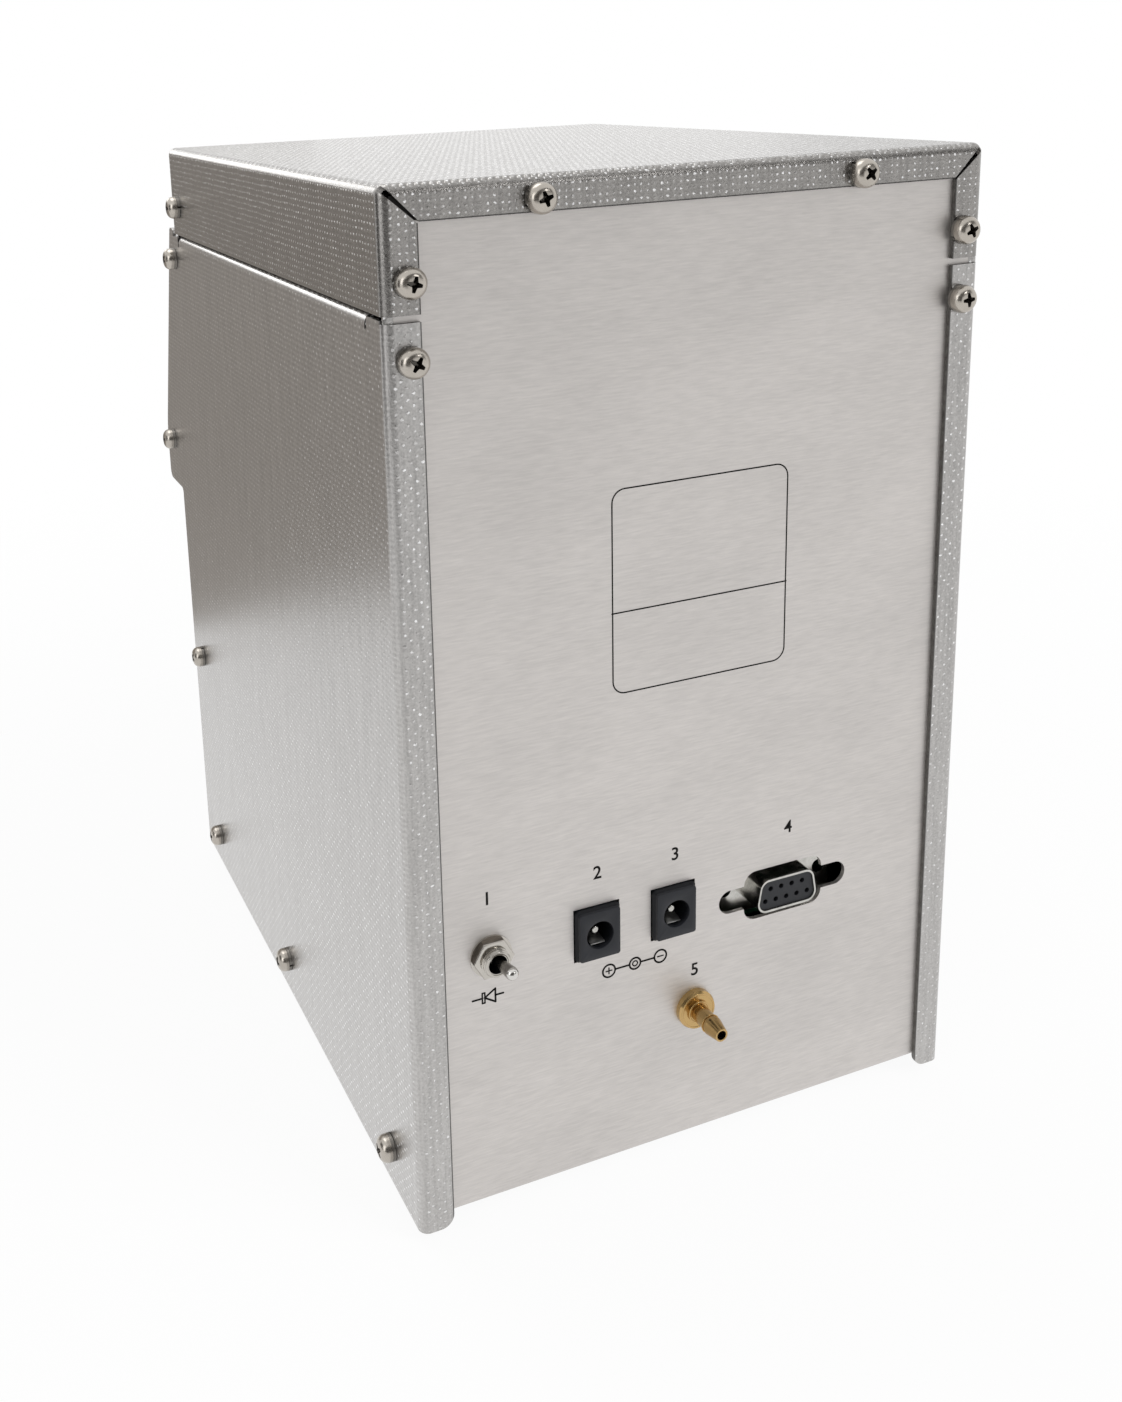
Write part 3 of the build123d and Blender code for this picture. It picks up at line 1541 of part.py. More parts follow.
# Main board on spacers inside the left side panel, with its parts on the inner face
main_back = 30.0
main_front_gap = 6.0
main_front = liner_back - main_front_gap
main_bottom = 88.0
main_drop = 35.0
main_top = body_height - main_drop
main_post_inset = 4.0
main_post_height = 6.0
chip_places = ((50.0, 160.0, 16.0, 16.0), (78.0, 158.0, 10.0, 20.0), (96.0, 130.0, 8.0, 18.0))
chip_height = 2.4
header_places = ((46.0, 100.0, 22.0, 6.0), (84.0, 100.0, 28.0, 6.0))
header_height = 9.0
capacitor_places = ((40.0, 122.0), (54.0, 122.0), (68.0, 122.0))
capacitor_radius = 5.0
capacitor_height = 12.0
capacitor_round = 0.8
main_back_face = -wall + main_post_height
main_face = main_back_face + board_thickness
main_posts = [
    spot(depth, height)
    for depth in (main_back + main_post_inset, main_front - main_post_inset)
    for height in (main_bottom + main_post_inset, main_top - main_post_inset)
]

with BuildPart() as main_board:
    with BuildSketch(side_plane(main_back_face)):
        with Locations(spot((main_back + main_front) / 2, (main_bottom + main_top) / 2)):
            Rectangle(main_front - main_back, main_top - main_bottom)
        with Locations(*main_posts):
            Circle(screw_hole, mode=Mode.SUBTRACT)
    extrude(amount=board_thickness)
save(main_board, "main_board")

with BuildPart() as main_board_parts:
    for places, stand in ((chip_places, chip_height), (header_places, header_height)):
        for depth, height, length, rise in places:
            with BuildSketch(side_plane(main_face)):
                with Locations(spot(depth, height)):
                    Rectangle(length, rise)
            extrude(amount=stand)
    with BuildSketch(side_plane(main_face)):
        with Locations(*[spot(*place) for place in capacitor_places]):
            Circle(capacitor_radius)
    extrude(amount=capacitor_height)
    fillet(main_board_parts.edges().sort_by(Axis.X)[-len(capacitor_places):], radius=capacitor_round)
save(main_board_parts, "main_board_parts")

with BuildPart() as main_board_spacers:
    with BuildSketch(side_plane(-wall)):
        with Locations(*main_posts):
            Circle(post_radius)
            Circle(nut_bore, mode=Mode.SUBTRACT)
    extrude(amount=main_post_height)
save(main_board_spacers, "main_board_spacers")

# Board screws: small pan heads on all the boards' spacers
board_screw_length = 5.0
board_head_radius = 2.8
board_head_height = 2.0
io_board_y = y_back - board_face - board_thickness
console_board = slope_layer(board_back)
console_board_posts = [console_board.from_local_coords((x, v, 0)) for x, v in display_posts + key_posts]
board_screw_seats = [Plane(origin=post, z_dir=-console_board.z_dir) for post in console_board_posts]
board_screw_seats += [Plane(origin=(x, io_board_y, z), z_dir=(0, -1, 0)) for x, z in io_posts]
board_screw_seats += [Plane(origin=(main_face, *place), z_dir=(1, 0, 0)) for place in main_posts]
upward = (Align.CENTER, Align.CENTER, Align.MIN)
downward = (Align.CENTER, Align.CENTER, Align.MAX)

with BuildPart() as board_screws:
    with Locations(*board_screw_seats):
        Cylinder(board_head_radius, board_head_height, align=upward)
        Cylinder(screw_radius, board_screw_length, align=downward)
save(board_screws, "board_screws")

# Case screws with their lock washers and clinch nuts
screw_length = sheet_stack + nut_height + screw_tip
case_seats = cover_rear_seats + cover_side_seats + body_rear_seats + body_side_seats

with BuildPart() as pan_screw:
    Cylinder(screw_radius, screw_length + washer_height, align=downward)
    Cylinder(head_radius, head_height, align=upward)
    fillet(pan_screw.edges().sort_by(Axis.Z)[-1], radius=head_round)

with BuildPart() as case_screws:
    with Locations(*[seat.offset(washer_height) for seat in case_seats]):
        add(pan_screw.part)
save(case_screws, "case_screws")

with BuildPart() as lock_washers:
    with Locations(*case_seats):
        Cylinder(washer_radius, washer_height, align=upward)
        Cylinder(screw_hole, washer_height, align=upward, mode=Mode.SUBTRACT)
save(lock_washers, "lock_washers")

with BuildPart() as clinch_nuts:
    with Locations(*[seat.offset(-sheet_stack) for seat in case_seats]):
        Cylinder(nut_radius, nut_height, align=downward)
        Cylinder(nut_bore, nut_height, align=downward, mode=Mode.SUBTRACT)
save(clinch_nuts, "clinch_nuts")
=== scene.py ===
import json
import math
import bpy
from mathutils import Matrix, Vector


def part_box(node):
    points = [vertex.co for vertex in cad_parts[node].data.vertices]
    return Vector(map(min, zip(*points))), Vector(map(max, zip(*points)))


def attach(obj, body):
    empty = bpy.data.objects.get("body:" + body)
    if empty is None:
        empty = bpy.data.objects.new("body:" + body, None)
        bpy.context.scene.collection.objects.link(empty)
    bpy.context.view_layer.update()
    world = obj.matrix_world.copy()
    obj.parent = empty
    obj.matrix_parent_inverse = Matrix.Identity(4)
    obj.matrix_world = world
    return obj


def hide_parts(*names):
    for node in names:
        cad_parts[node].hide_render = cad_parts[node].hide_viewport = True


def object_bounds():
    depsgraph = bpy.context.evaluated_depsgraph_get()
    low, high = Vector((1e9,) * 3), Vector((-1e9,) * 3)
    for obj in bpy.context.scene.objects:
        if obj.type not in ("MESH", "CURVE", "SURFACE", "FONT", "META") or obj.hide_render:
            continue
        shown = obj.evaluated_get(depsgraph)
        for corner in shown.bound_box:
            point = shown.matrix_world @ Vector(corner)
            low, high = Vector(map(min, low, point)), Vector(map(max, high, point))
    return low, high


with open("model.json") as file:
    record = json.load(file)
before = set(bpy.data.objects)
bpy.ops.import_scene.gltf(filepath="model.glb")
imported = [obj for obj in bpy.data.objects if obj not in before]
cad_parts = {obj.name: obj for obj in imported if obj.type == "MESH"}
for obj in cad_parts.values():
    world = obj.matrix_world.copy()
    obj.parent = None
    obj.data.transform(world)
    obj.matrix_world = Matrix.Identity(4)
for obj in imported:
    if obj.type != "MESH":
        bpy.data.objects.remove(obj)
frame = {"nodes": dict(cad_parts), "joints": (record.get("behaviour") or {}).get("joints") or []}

nodes = frame["nodes"]
mm = 0.001
hair = 0.01 * mm
touch = 0.001 * mm
cadBox = [list(corner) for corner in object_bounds()]


# how the scene is seen: angles in degrees, lengths in metres, the lens in millimetres

view = {"azimuth": 158.692, "elevation": 13.428, "roll": -2.235, "lens": 37.65, "sensor": 36,
        "clip": (0.01, 20), "height": 0.113, "ahead": 0.084,
        "offset": Vector((-0.02985, 0.04179, 0.38381)), "shift": (0.1063, -0.2061)}


def basis(right, up, back, place):
    return Matrix((*zip(right, up, back, place), (0, 0, 0, 1)))


def placeCamera():
    turn, lift, roll = (math.radians(view[name]) for name in ("azimuth", "elevation", "roll"))
    back = Vector((math.sin(turn) * math.cos(lift), -math.cos(turn) * math.cos(lift), math.sin(lift)))
    level = Vector((math.cos(turn), math.sin(turn), 0))
    upright = back.cross(level)
    right = level * math.cos(roll) + upright * math.sin(roll)
    up = upright * math.cos(roll) - level * math.sin(roll)
    offset = view["offset"]
    target = Vector((0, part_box("top_cover")[1].y - view["ahead"], view["height"]))
    place = target + right * offset.x + up * offset.y + back * offset.z
    data = bpy.data.cameras.new("camera")
    data.sensor_width, data.lens = view["sensor"], view["lens"]
    data.shift_x, data.shift_y = view["shift"]
    data.clip_start, data.clip_end = view["clip"]
    camera = bpy.data.objects.new("camera", data)
    bpy.context.collection.objects.link(camera)
    camera.matrix_world = basis(right, up, back, place)
    bpy.context.scene.camera = camera


# small helpers for materials

def startMaterial(name, color, metallic, roughness, **inputs):
    material = bpy.data.materials.new(name)
    material.use_nodes = True
    material.diffuse_color = (*color, 1)
    tree = material.node_tree
    shader = tree.nodes["Principled BSDF"]
    shader.inputs["Base Color"].default_value = (*color, 1)
    shader.inputs["Metallic"].default_value = metallic
    shader.inputs["Roughness"].default_value = roughness
    for label, value in inputs.items():
        shader.inputs[label.replace("_", " ")].default_value = value
    return material, tree, shader


def addNode(tree, kind, **settings):
    node = tree.nodes.new(kind)
    for label, value in settings.items():
        setattr(node, label, value)
    return node


def calculate(tree, operation, *values):
    if len(values) > 2:
        values = (calculate(tree, operation, *values[:-1]), values[-1])
    node = addNode(tree, "ShaderNodeMath", operation=operation)
    for socket, value in zip(node.inputs, values):
        if isinstance(value, (int, float)):
            socket.default_value = value
        else:
            tree.links.new(value, socket)
    return node.outputs[0]


def plus(tree, *values):
    return calculate(tree, "ADD", *values)


def minus(tree, *values):
    return calculate(tree, "SUBTRACT", *values)


def times(tree, *values):
    return calculate(tree, "MULTIPLY", *values)


def objectPlace(tree):
    return addNode(tree, "ShaderNodeTexCoord").outputs["Object"]


def scaled(tree, vector, scale):
    mapping = addNode(tree, "ShaderNodeMapping")
    mapping.inputs["Scale"].default_value = scale
    tree.links.new(vector, mapping.inputs["Vector"])
    return mapping.outputs[0]


def inMillimetres(tree, vector):
    return scaled(tree, vector, (1 / mm, 1 / mm, 1 / mm))


def axes(tree, vector):
    node = addNode(tree, "ShaderNodeSeparateXYZ")
    tree.links.new(vector, node.inputs[0])
    return node.outputs


def noise(tree, vector, scale, detail, roughness=0.55):
    node = addNode(tree, "ShaderNodeTexNoise")
    node.inputs["Scale"].default_value = scale
    node.inputs["Detail"].default_value = detail
    node.inputs["Roughness"].default_value = roughness
    tree.links.new(vector, node.inputs["Vector"])
    return node.outputs[0]


def remap(tree, value, low, high, toLow, toHigh, curve="LINEAR"):
    node = addNode(tree, "ShaderNodeMapRange", interpolation_type=curve)
    for label, number in zip(("From Min", "From Max", "To Min", "To Max"), (low, high, toLow, toHigh)):
        node.inputs[label].default_value = number
    tree.links.new(value, node.inputs["Value"])
    return node.outputs[0]


def shade(color, factor):
    return tuple(min(1, part * factor) for part in color)


def shades(color, steps):
    return [(place, shade(color, factor)) for place, factor in steps]


def ramp(tree, value, stops):
    node = addNode(tree, "ShaderNodeValToRGB")
    elements = node.color_ramp.elements
    while len(elements) < len(stops):
        elements.new(1.0)
    for element, (place, color) in zip(elements, stops):
        element.position = place
        element.color = (*color, 1)
    tree.links.new(value, node.inputs[0])
    return node.outputs[0]


def blend(tree, share, tone, color):
    node = addNode(tree, "ShaderNodeMix", data_type="RGBA")
    tree.links.new(share, node.inputs[0])
    tree.links.new(tone, node.inputs[6])
    node.inputs[7].default_value = (*color, 1)
    return node.outputs[2]


def dress(tree, shader, tone, roughness):
    tree.links.new(tone, shader.inputs["Base Color"])
    tree.links.new(roughness, shader.inputs["Roughness"])


def bump(tree, shader, height, strength, distance):
    node = addNode(tree, "ShaderNodeBump")
    node.inputs["Strength"].default_value = strength
    node.inputs["Distance"].default_value = distance
    tree.links.new(height, node.inputs["Height"])
    tree.links.new(node.outputs[0], shader.inputs["Normal"])


# finishes: four numbers in a row are a range and the range that it is turned into

rearWindow = {"half": 60.5, "top": 216.0, "line": 0.2, "soft": 0.1, "deep": 205.0}

# what both embossed sheets share, in millimetres
emboss = {
    "facing": 0.7, "bend": (0.02, 0.3), "bendFloor": 0.1, "flat": (0.9, 0.99, 0, 1),
    "drift": (0.3, 2), "driftReach": (0, 1, -0.3, 0.3),
    "jitter": (1.1, 1), "jitterReach": (0.25, 0.75, -0.22, 0.22),
    "grain": (2.2, 4), "grainReach": (0.3, 0.7, -0.1, 0.1), "grainTone": 0.24, "grainRelief": 0.6,
    "worn": (0.7, 3), "wornPips": (0.35, 0.6, 0.5, 1), "sheenPatches": (0.38, 0.62, 0.1, 1),
    "wornRows": (0.35, 0.6, 0.3, 1), "streak": (1.3, 1.3, 0.06), "streakTone": 0.16,
    "glintFade": (60, 175, 0.5, 1), "glintGain": (50, 130, 2.4, 1), "paintedLightBelow": (20, 150, 0.045, 0),
    "edge": 0.12, "slant": (1.45, 3.2), "rows": (0.1, 0.4, 0, 1), "pipGlint": (0, 0.8), "sideRelief": 0.5,
    "dark": (0.12, 0.56), "middle": (0.26, 0.92), "brightAt": 0.74, "edgeShadowTone": 0.22,
}


def embossedSteel(name, look):
    material, tree, shader = startMaterial(name, look["color"], 1.0, 0.3)
    coordinates = addNode(tree, "ShaderNodeTexCoord")
    place = inMillimetres(tree, coordinates.outputs["Object"])
    x, y, z = axes(tree, place)
    sideways, endways, upward = (calculate(tree, "ABSOLUTE", part)
                                 for part in axes(tree, coordinates.outputs["Normal"]))
    onSide, onEnd, onTop = (calculate(tree, "GREATER_THAN", part, emboss["facing"])
                            for part in (sideways, endways, upward))
    offSide, offTop = (minus(tree, 1, part) for part in (onSide, onTop))
    relief = remap(tree, sideways, *emboss["bend"], look["bendRelief"], emboss["bendFloor"])
    flatness = calculate(tree, "MAXIMUM", sideways, endways, upward)
    flat = calculate(tree, "MAXIMUM", remap(tree, flatness, *emboss["flat"]), relief)
    drift = remap(tree, noise(tree, place, *emboss["drift"]), *emboss["driftReach"])
    jitter = remap(tree, noise(tree, place, *emboss["jitter"]), *emboss["jitterReach"])
    squeeze = remap(tree, onSide, 0, 1, 1, look["sideSqueeze"])
    # the pattern lies in the plane of each face: x or y across, z or y along
    across = plus(tree, times(tree, x, offSide), times(tree, y, onSide, look["sideStretch"]))
    along = plus(tree, times(tree, z, offTop), times(tree, y, onTop))
    reachAcross = look["column"] * (1 if look["staggered"] else 0.5)
    reachAlong = look["row"] / 2
    across = plus(tree, across, plus(tree, drift, jitter))
    nearAcross = calculate(tree, "PINGPONG", across, reachAcross)
    nearAlong = calculate(tree, "PINGPONG", plus(tree, along, drift), reachAlong)
    steps = [(nearAcross, nearAlong)]
    if look["staggered"]:
        steps.append((minus(tree, reachAcross, nearAcross), minus(tree, reachAlong, nearAlong)))
    distances = []
    for sideStep, alongStep in steps:
        squares = [calculate(tree, "POWER", part, 2)
                   for part in (sideStep, times(tree, alongStep, squeeze))]
        distances.append(calculate(tree, "SQRT", plus(tree, *squares)))
    distance = distances[0] if len(distances) == 1 else calculate(tree, "MINIMUM", *distances)
    grain = noise(tree, place, *emboss["grain"])
    worn = noise(tree, place, *emboss["worn"])
    uneven = plus(tree, distance, remap(tree, grain, *emboss["grainReach"]))
    raised = remap(tree, uneven, look["pip"] + emboss["edge"], look["pip"] - emboss["edge"], 0, 1,
                   "SMOOTHERSTEP")
    pips = times(tree, raised, times(tree, flat, remap(tree, worn, *emboss["wornPips"])))
    # painted glints: the pips' colour is made brighter where they would catch the lamps; the same mask also
    # sets their roughness
    pipGlint = times(tree, pips, remap(tree, worn, *emboss["sheenPatches"]),
                   remap(tree, onSide, 0, 1, 1, look["sideShine"]))
    # painted shading by height: lower down the sheet is painted lighter, and its painted pip glints are
    # fainter on the flanges and stronger on the side
    glintFade = times(tree, remap(tree, z, *emboss["glintFade"]), offSide)
    glintGain = times(tree, remap(tree, z, *emboss["glintGain"]), onSide)
    pipGlint = times(tree, pipGlint, plus(tree, glintFade, glintGain))
    paintedLightBelow = remap(tree, z, *emboss["paintedLightBelow"])
    streak = noise(tree, scaled(tree, place, emboss["streak"]), 1.0, 3)
    # between the pips the side's sheet has faint level ribs
    ribStep, ribReach = nearAlong, reachAlong
    if look["staggered"]:
        ribReach = reachAlong / 2
        ribStep = calculate(tree, "PINGPONG", nearAlong, ribReach)
    rib = times(tree, onSide, remap(tree, ribStep, 0, ribReach, 1, 0), look["rib"])
    # on the lid's top the lattice reads as slanting rows
    slant = minus(tree, times(tree, x, 1 / emboss["slant"][0]), times(tree, y, 1 / emboss["slant"][1]))
    rows = remap(tree, calculate(tree, "PINGPONG", slant, 0.5), *emboss["rows"], "SMOOTHERSTEP")
    rows = times(tree, rows, onTop, remap(tree, worn, *emboss["wornRows"]))
    fine = plus(tree, times(tree, grain, emboss["grainTone"]), times(tree, streak, emboss["streakTone"]))
    mixed = plus(tree, rib, times(tree, rows, look["topRows"]), paintedLightBelow,
                 times(tree, pipGlint, look["shine"]), fine)
    steps = (emboss["dark"], emboss["middle"], (emboss["brightAt"], look["bright"]))
    tone = ramp(tree, mixed, shades(look["color"], steps))
    # painted shadow: a thin dark line is painted along the sheet's inner edge round the rear panel
    inward = calculate(tree, "MAXIMUM", minus(tree, calculate(tree, "ABSOLUTE", x), rearWindow["half"]),
                       minus(tree, z, rearWindow["top"]))
    line = rearWindow["line"]
    edgeShadow = times(tree, remap(tree, inward, line, line + rearWindow["soft"], 1, 0), onEnd)
    tone = blend(tree, edgeShadow, tone, shade(look["color"], emboss["edgeShadowTone"]))
    dress(tree, shader, tone, remap(tree, pipGlint, *emboss["pipGlint"], look["smooth"], look["rough"]))
    height = plus(tree, pips, times(tree, grain, emboss["grainRelief"]), rows)
    height = times(tree, height, remap(tree, onSide, 0, 1, 1, emboss["sideRelief"]))
    bump(tree, shader, height, 1.0, look["height"])
    return material


brushed = {"color": (0.63, 0.603, 0.582), "fine": (230, 2300, 2300), "broad": (30, 70, 70),
           "fineDetail": (4, 0.62), "fineShare": 0.62, "broadShare": 0.38, "shadeBehindTone": 0.04,
           "tones": ((0.34, 0.89), (0.66, 1.1)), "rough": (0.3, 0.7, 0.44, 0.54),
           "relief": 0.3, "deep": 0.00003}


def brushedSteel():
    material, tree, shader = startMaterial("brushedSteel", brushed["color"], 1.0, 0.35)
    place = objectPlace(tree)
    fine = noise(tree, scaled(tree, place, brushed["fine"]), 1.0, *brushed["fineDetail"])
    broad = noise(tree, scaled(tree, place, brushed["broad"]), 1.0, 3)
    mixed = plus(tree, times(tree, fine, brushed["fineShare"]), times(tree, broad, brushed["broadShare"]))
    tone = ramp(tree, mixed, shades(brushed["color"], brushed["tones"]))
    # painted shade: behind the cover's mitres and rim the sheet is painted nearly black
    x, y, z = axes(tree, inMillimetres(tree, place))
    tests = ((calculate(tree, "ABSOLUTE", x), rearWindow["half"] + rearWindow["line"]),
             (z, rearWindow["top"] + rearWindow["line"]), (z, rearWindow["deep"]), (y, 0))
    beside, above, high, rear = (calculate(tree, "GREATER_THAN", *test) for test in tests)
    shadeBehind = times(tree, calculate(tree, "MAXIMUM", beside, above), high, rear)
    tone = blend(tree, shadeBehind, tone, shade(brushed["color"], brushed["shadeBehindTone"]))
    dress(tree, shader, tone, remap(tree, mixed, *brushed["rough"]))
    bump(tree, shader, fine, brushed["relief"], brushed["deep"])
    return material


metalLook = {"metallic": 1.0, "spread": 0.08, "patch": 180, "fineness": 1500, "relief": 0.08,
             "contrast": 0.12, "deep": 0.00003}
plasticLook = {"metallic": 0.0, "spread": 0.08, "patch": 220, "fineness": 2600, "relief": 0.1,
               "contrast": 0.12, "deep": 0.00005}
clouding = {"band": (0.3, 0.7), "smoothest": 0.03}


def plainFinish(look, name, color, roughness, **changes):
    inputs = {label: value for label, value in changes.items() if label not in look}
    look = {label: changes.get(label, value) for label, value in look.items()}
    material, tree, shader = startMaterial(name, color, look["metallic"], roughness, **inputs)
    place = objectPlace(tree)
    cloud = noise(tree, place, look["patch"], 3)
    grain = noise(tree, place, look["fineness"], 2)
    low, high = clouding["band"]
    steps = ((low, 1 - look["contrast"]), (high, 1 + look["contrast"]))
    tone = ramp(tree, cloud, shades(color, steps))
    smooth = max(clouding["smoothest"], roughness - look["spread"])
    dress(tree, shader, tone, remap(tree, cloud if look["metallic"] else grain, low, high,
                                    smooth, roughness + look["spread"]))
    bump(tree, shader, grain, look["relief"], look["deep"])
    return material


def metal(name, color, roughness, **changes):
    return plainFinish(metalLook, name, color, roughness, **changes)


def plastic(name, color, roughness, **changes):
    return plainFinish(plasticLook, name, color, roughness, **changes)


circuit = {"mask": (0.008, 0.045, 0.022), "track": (0.016, 0.085, 0.04), "scale": (420, 420, 420),
           "rings": 3.0, "edges": (0.45, 0.55), "rough": (0, 1, 0.36, 0.28), "relief": 0.2, "deep": 0.00003}


def circuitBoard():
    material, tree, shader = startMaterial("circuitBoard", circuit["mask"], 0.0, 0.32, Coat_Weight=0.3)
    cells = addNode(tree, "ShaderNodeTexVoronoi", distance="MANHATTAN", feature="F1")
    cells.inputs["Scale"].default_value = 1.0
    tree.links.new(scaled(tree, objectPlace(tree), circuit["scale"]), cells.inputs["Vector"])
    rings = calculate(tree, "PINGPONG", times(tree, cells.outputs["Distance"], circuit["rings"]), 1.0)
    tone = ramp(tree, rings, tuple(zip(circuit["edges"], (circuit["mask"], circuit["track"]))))
    dress(tree, shader, tone, remap(tree, rings, *circuit["rough"]))
    bump(tree, shader, rings, circuit["relief"], circuit["deep"])
    return material


lidSheet = {"color": (0.395, 0.381, 0.366), "column": 1.46, "row": 1.3, "staggered": False,
            "sideStretch": 0.95, "sideSqueeze": 1.35, "pip": 0.21, "height": 0.00012, "shine": 0.85,
            "bright": 3.0, "rib": 0.05, "smooth": 0.27, "rough": 0.5, "bendRelief": 0.7,
            "topRows": 0.16, "sideShine": 0.5}
sideSheet = {"color": (0.535, 0.522, 0.509), "column": 1.25, "row": 2.4, "staggered": True,
             "sideStretch": 1.1, "sideSqueeze": 1.3, "pip": 0.26, "height": 0.0001, "shine": 0.75,
             "bright": 2.5, "rib": 0.06, "smooth": 0.28, "rough": 0.48, "bendRelief": 0.4,
             "topRows": 0.1, "sideShine": 0.42}
polished = {"spread": 0.02, "patch": 300, "relief": 0.01}

finishes = {
    "lidSheet": embossedSteel("lidSheet", lidSheet),
    "sideSheet": embossedSteel("sideSheet", sideSheet),
    # painted shade: a dark metal for the sheets' cut edges
    "shadedCutEdge": metal("shadedCutEdge", (0.16, 0.155, 0.148), 0.45, patch=900, contrast=0.3),
    "brushed": brushedSteel(),
    "zinc": metal("zincSheet", (0.44, 0.46, 0.47), 0.4, patch=320, contrast=0.2),
    "plated": metal("platedFasteners", (0.47, 0.435, 0.39), 0.25, spread=0.02, patch=300,
                    contrast=0.07, relief=0.015),
    "rubber": plastic("blackRubber", (0.022, 0.022, 0.023), 0.72, relief=0.25),
    "tube": metal("polishedTube", (0.62, 0.62, 0.61), 0.12, spread=0.04),
    "pane": plastic("clearPane", (0.9, 0.93, 0.92), 0.05, spread=0.02, relief=0.01, contrast=0.01,
                    Transmission_Weight=0.92, IOR=1.49),
    "blackMetal": plastic("blackMetal", (0.02, 0.02, 0.022), 0.42),
    "lcd": plastic("displayGlass", (0.18, 0.24, 0.10), 0.14, spread=0.04, relief=0.02, contrast=0.04,
                   Coat_Weight=0.4),
    "white": plastic("whitePlastic", (0.74, 0.74, 0.71), 0.45),
    "board": circuitBoard(),
    "key": plastic("keyPlastic", (0.085, 0.095, 0.115), 0.44, relief=0.16),
    "black": plastic("blackPlastic", (0.026, 0.027, 0.030), 0.40, relief=0.14),
    "jack": plastic("jackPlastic", (0.006, 0.0065, 0.008), 0.4, relief=0.14, Specular_IOR_Level=0.2),
    "jackFace": plastic("jackFacePlastic", (0.013, 0.0142, 0.018), 0.38, relief=0.14,
                        Specular_IOR_Level=0.32),
    "chrome": metal("switchMetal", (0.52, 0.495, 0.455), 0.2, contrast=0.05, **polished),
    "lever": metal("leverMetal", (0.31, 0.295, 0.275), 0.22, contrast=0.05, **polished),
    # painted highlight on the lever's tip
    "leverTipHighlight": metal("leverTipMetal", (0.66, 0.645, 0.62), 0.16, contrast=0.05, **polished),
    # painted shade for the nut's side facets
    "nutSideShade": metal("nutSideMetal", (0.17, 0.15, 0.13), 0.3, contrast=0.08, **polished),
    "washerSteel": metal("washerSteel", (0.27, 0.255, 0.235), 0.42, spread=0.03, patch=300,
                         contrast=0.1, relief=0.02),
    "nickel": metal("nickelContacts", (0.55, 0.54, 0.51), 0.2, spread=0.05, patch=500, contrast=0.18),
    "leaf": metal("leafSprings", (0.5, 0.5, 0.49), 0.4, patch=700),
    "port": plastic("portPlastic", (0.015, 0.016, 0.019), 0.45, Specular_IOR_Level=0.35),
    "brass": metal("turnedBrass", (0.52, 0.35, 0.15), 0.21, contrast=0.06, **polished),
    "pump": plastic("pumpPlastic", (0.07, 0.07, 0.08), 0.30),
    "roller": plastic("rollerPlastic", (0.72, 0.71, 0.66), 0.28),
    "silicone": plastic("silicone", (0.72, 0.71, 0.66), 0.42, Transmission_Weight=0.35,
                        Subsurface_Weight=0.2),
    "motor": metal("motorMetal", (0.36, 0.37, 0.39), 0.32),
    "transducer": metal("transducerMetal", (0.62, 0.62, 0.63), 0.25),
    "heater": metal("heaterPlate", (0.50, 0.50, 0.52), 0.36),
    # painted shade inside the screws' recesses
    "recess": metal("screwRecessShade", (0.13, 0.12, 0.108), 0.36, patch=1500, contrast=0.4),
    "cells": plastic("displayCells", (0.11, 0.15, 0.06), 0.3, contrast=0.05),
    "keyMark": plastic("keyMark", (0.62, 0.62, 0.60), 0.5),
}

wearing = {
    "lidSheet": ("top_cover",),
    "sideSheet": ("side_panel_left", "side_panel_right"),
    "brushed": ("rear_panel", "console_panel", "lower_front_panel", "niche_liner"),
    "zinc": ("base_tray", "pump_bracket", "cell_rest"),
    "plated": ("clinch_nuts", "board_screws", "pump_screws", "intake_nut", "case_screws", "lock_washers"),
    "rubber": ("rubber_feet",),
    "tube": ("intake_tube",),
    "pane": ("display_window",),
    "blackMetal": ("display_bezel",),
    "lcd": ("display_glass",),
    "white": ("display_backlight", "connector_spacers", "console_spacers", "main_board_spacers"),
    "board": ("display_board", "keypad_board", "connector_board", "main_board"),
    "key": ("key_left", "key_middle", "key_right"),
    "black": ("key_switches", "main_board_parts", "hose_connectors", "pump_rotor"),
    "jack": ("power_sockets", "switch_body"),
    "chrome": ("switch_washer", "switch_nut", "intake_fitting"),
    "lever": ("switch_lever",),
    "nickel": ("serial_shell", "socket_pins"),
    "port": ("serial_insulator",),
    "brass": ("air_nipple", "air_nipple_nut"),
    "pump": ("pump_housing", "pump_lid"),
    "roller": ("pump_roller_1", "pump_roller_2", "pump_roller_3"),
    "silicone": ("pump_tube", "intake_hose", "pump_hose", "outlet_hose"),
    "motor": ("pump_motor",),
    "transducer": ("cell_transducers", "measuring_cell"),
    "heater": ("cell_heater",),
}

for finishName, members in wearing.items():
    for member in members:
        mesh = nodes[member].data
        mesh.materials.clear()
        mesh.materials.append(finishes[finishName])
        for polygon in mesh.polygons:
            polygon.material_index = 0


def repaint(node, finishName, test):
    mesh = nodes[node].data
    mesh.materials.append(finishes[finishName])
    for polygon in mesh.polygons:
        if test(polygon):
            polygon.material_index = 1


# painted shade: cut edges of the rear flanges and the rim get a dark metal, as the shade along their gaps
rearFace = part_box("rear_panel")[1].y
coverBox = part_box("top_cover")
backPlane, crown = coverBox[1].y, coverBox[1].z
flange = {"thickness": 1.05, "halfWidth": 65.7, "crown": 2.1, "level": 0.5}


def isShadedCutEdge(polygon):
    middle = polygon.center
    atRear = middle.y > backPlane - flange["thickness"] * mm and abs(polygon.normal.y) < flange["level"]
    return atRear and abs(middle.x) < flange["halfWidth"] * mm and middle.z < crown - flange["crown"] * mm


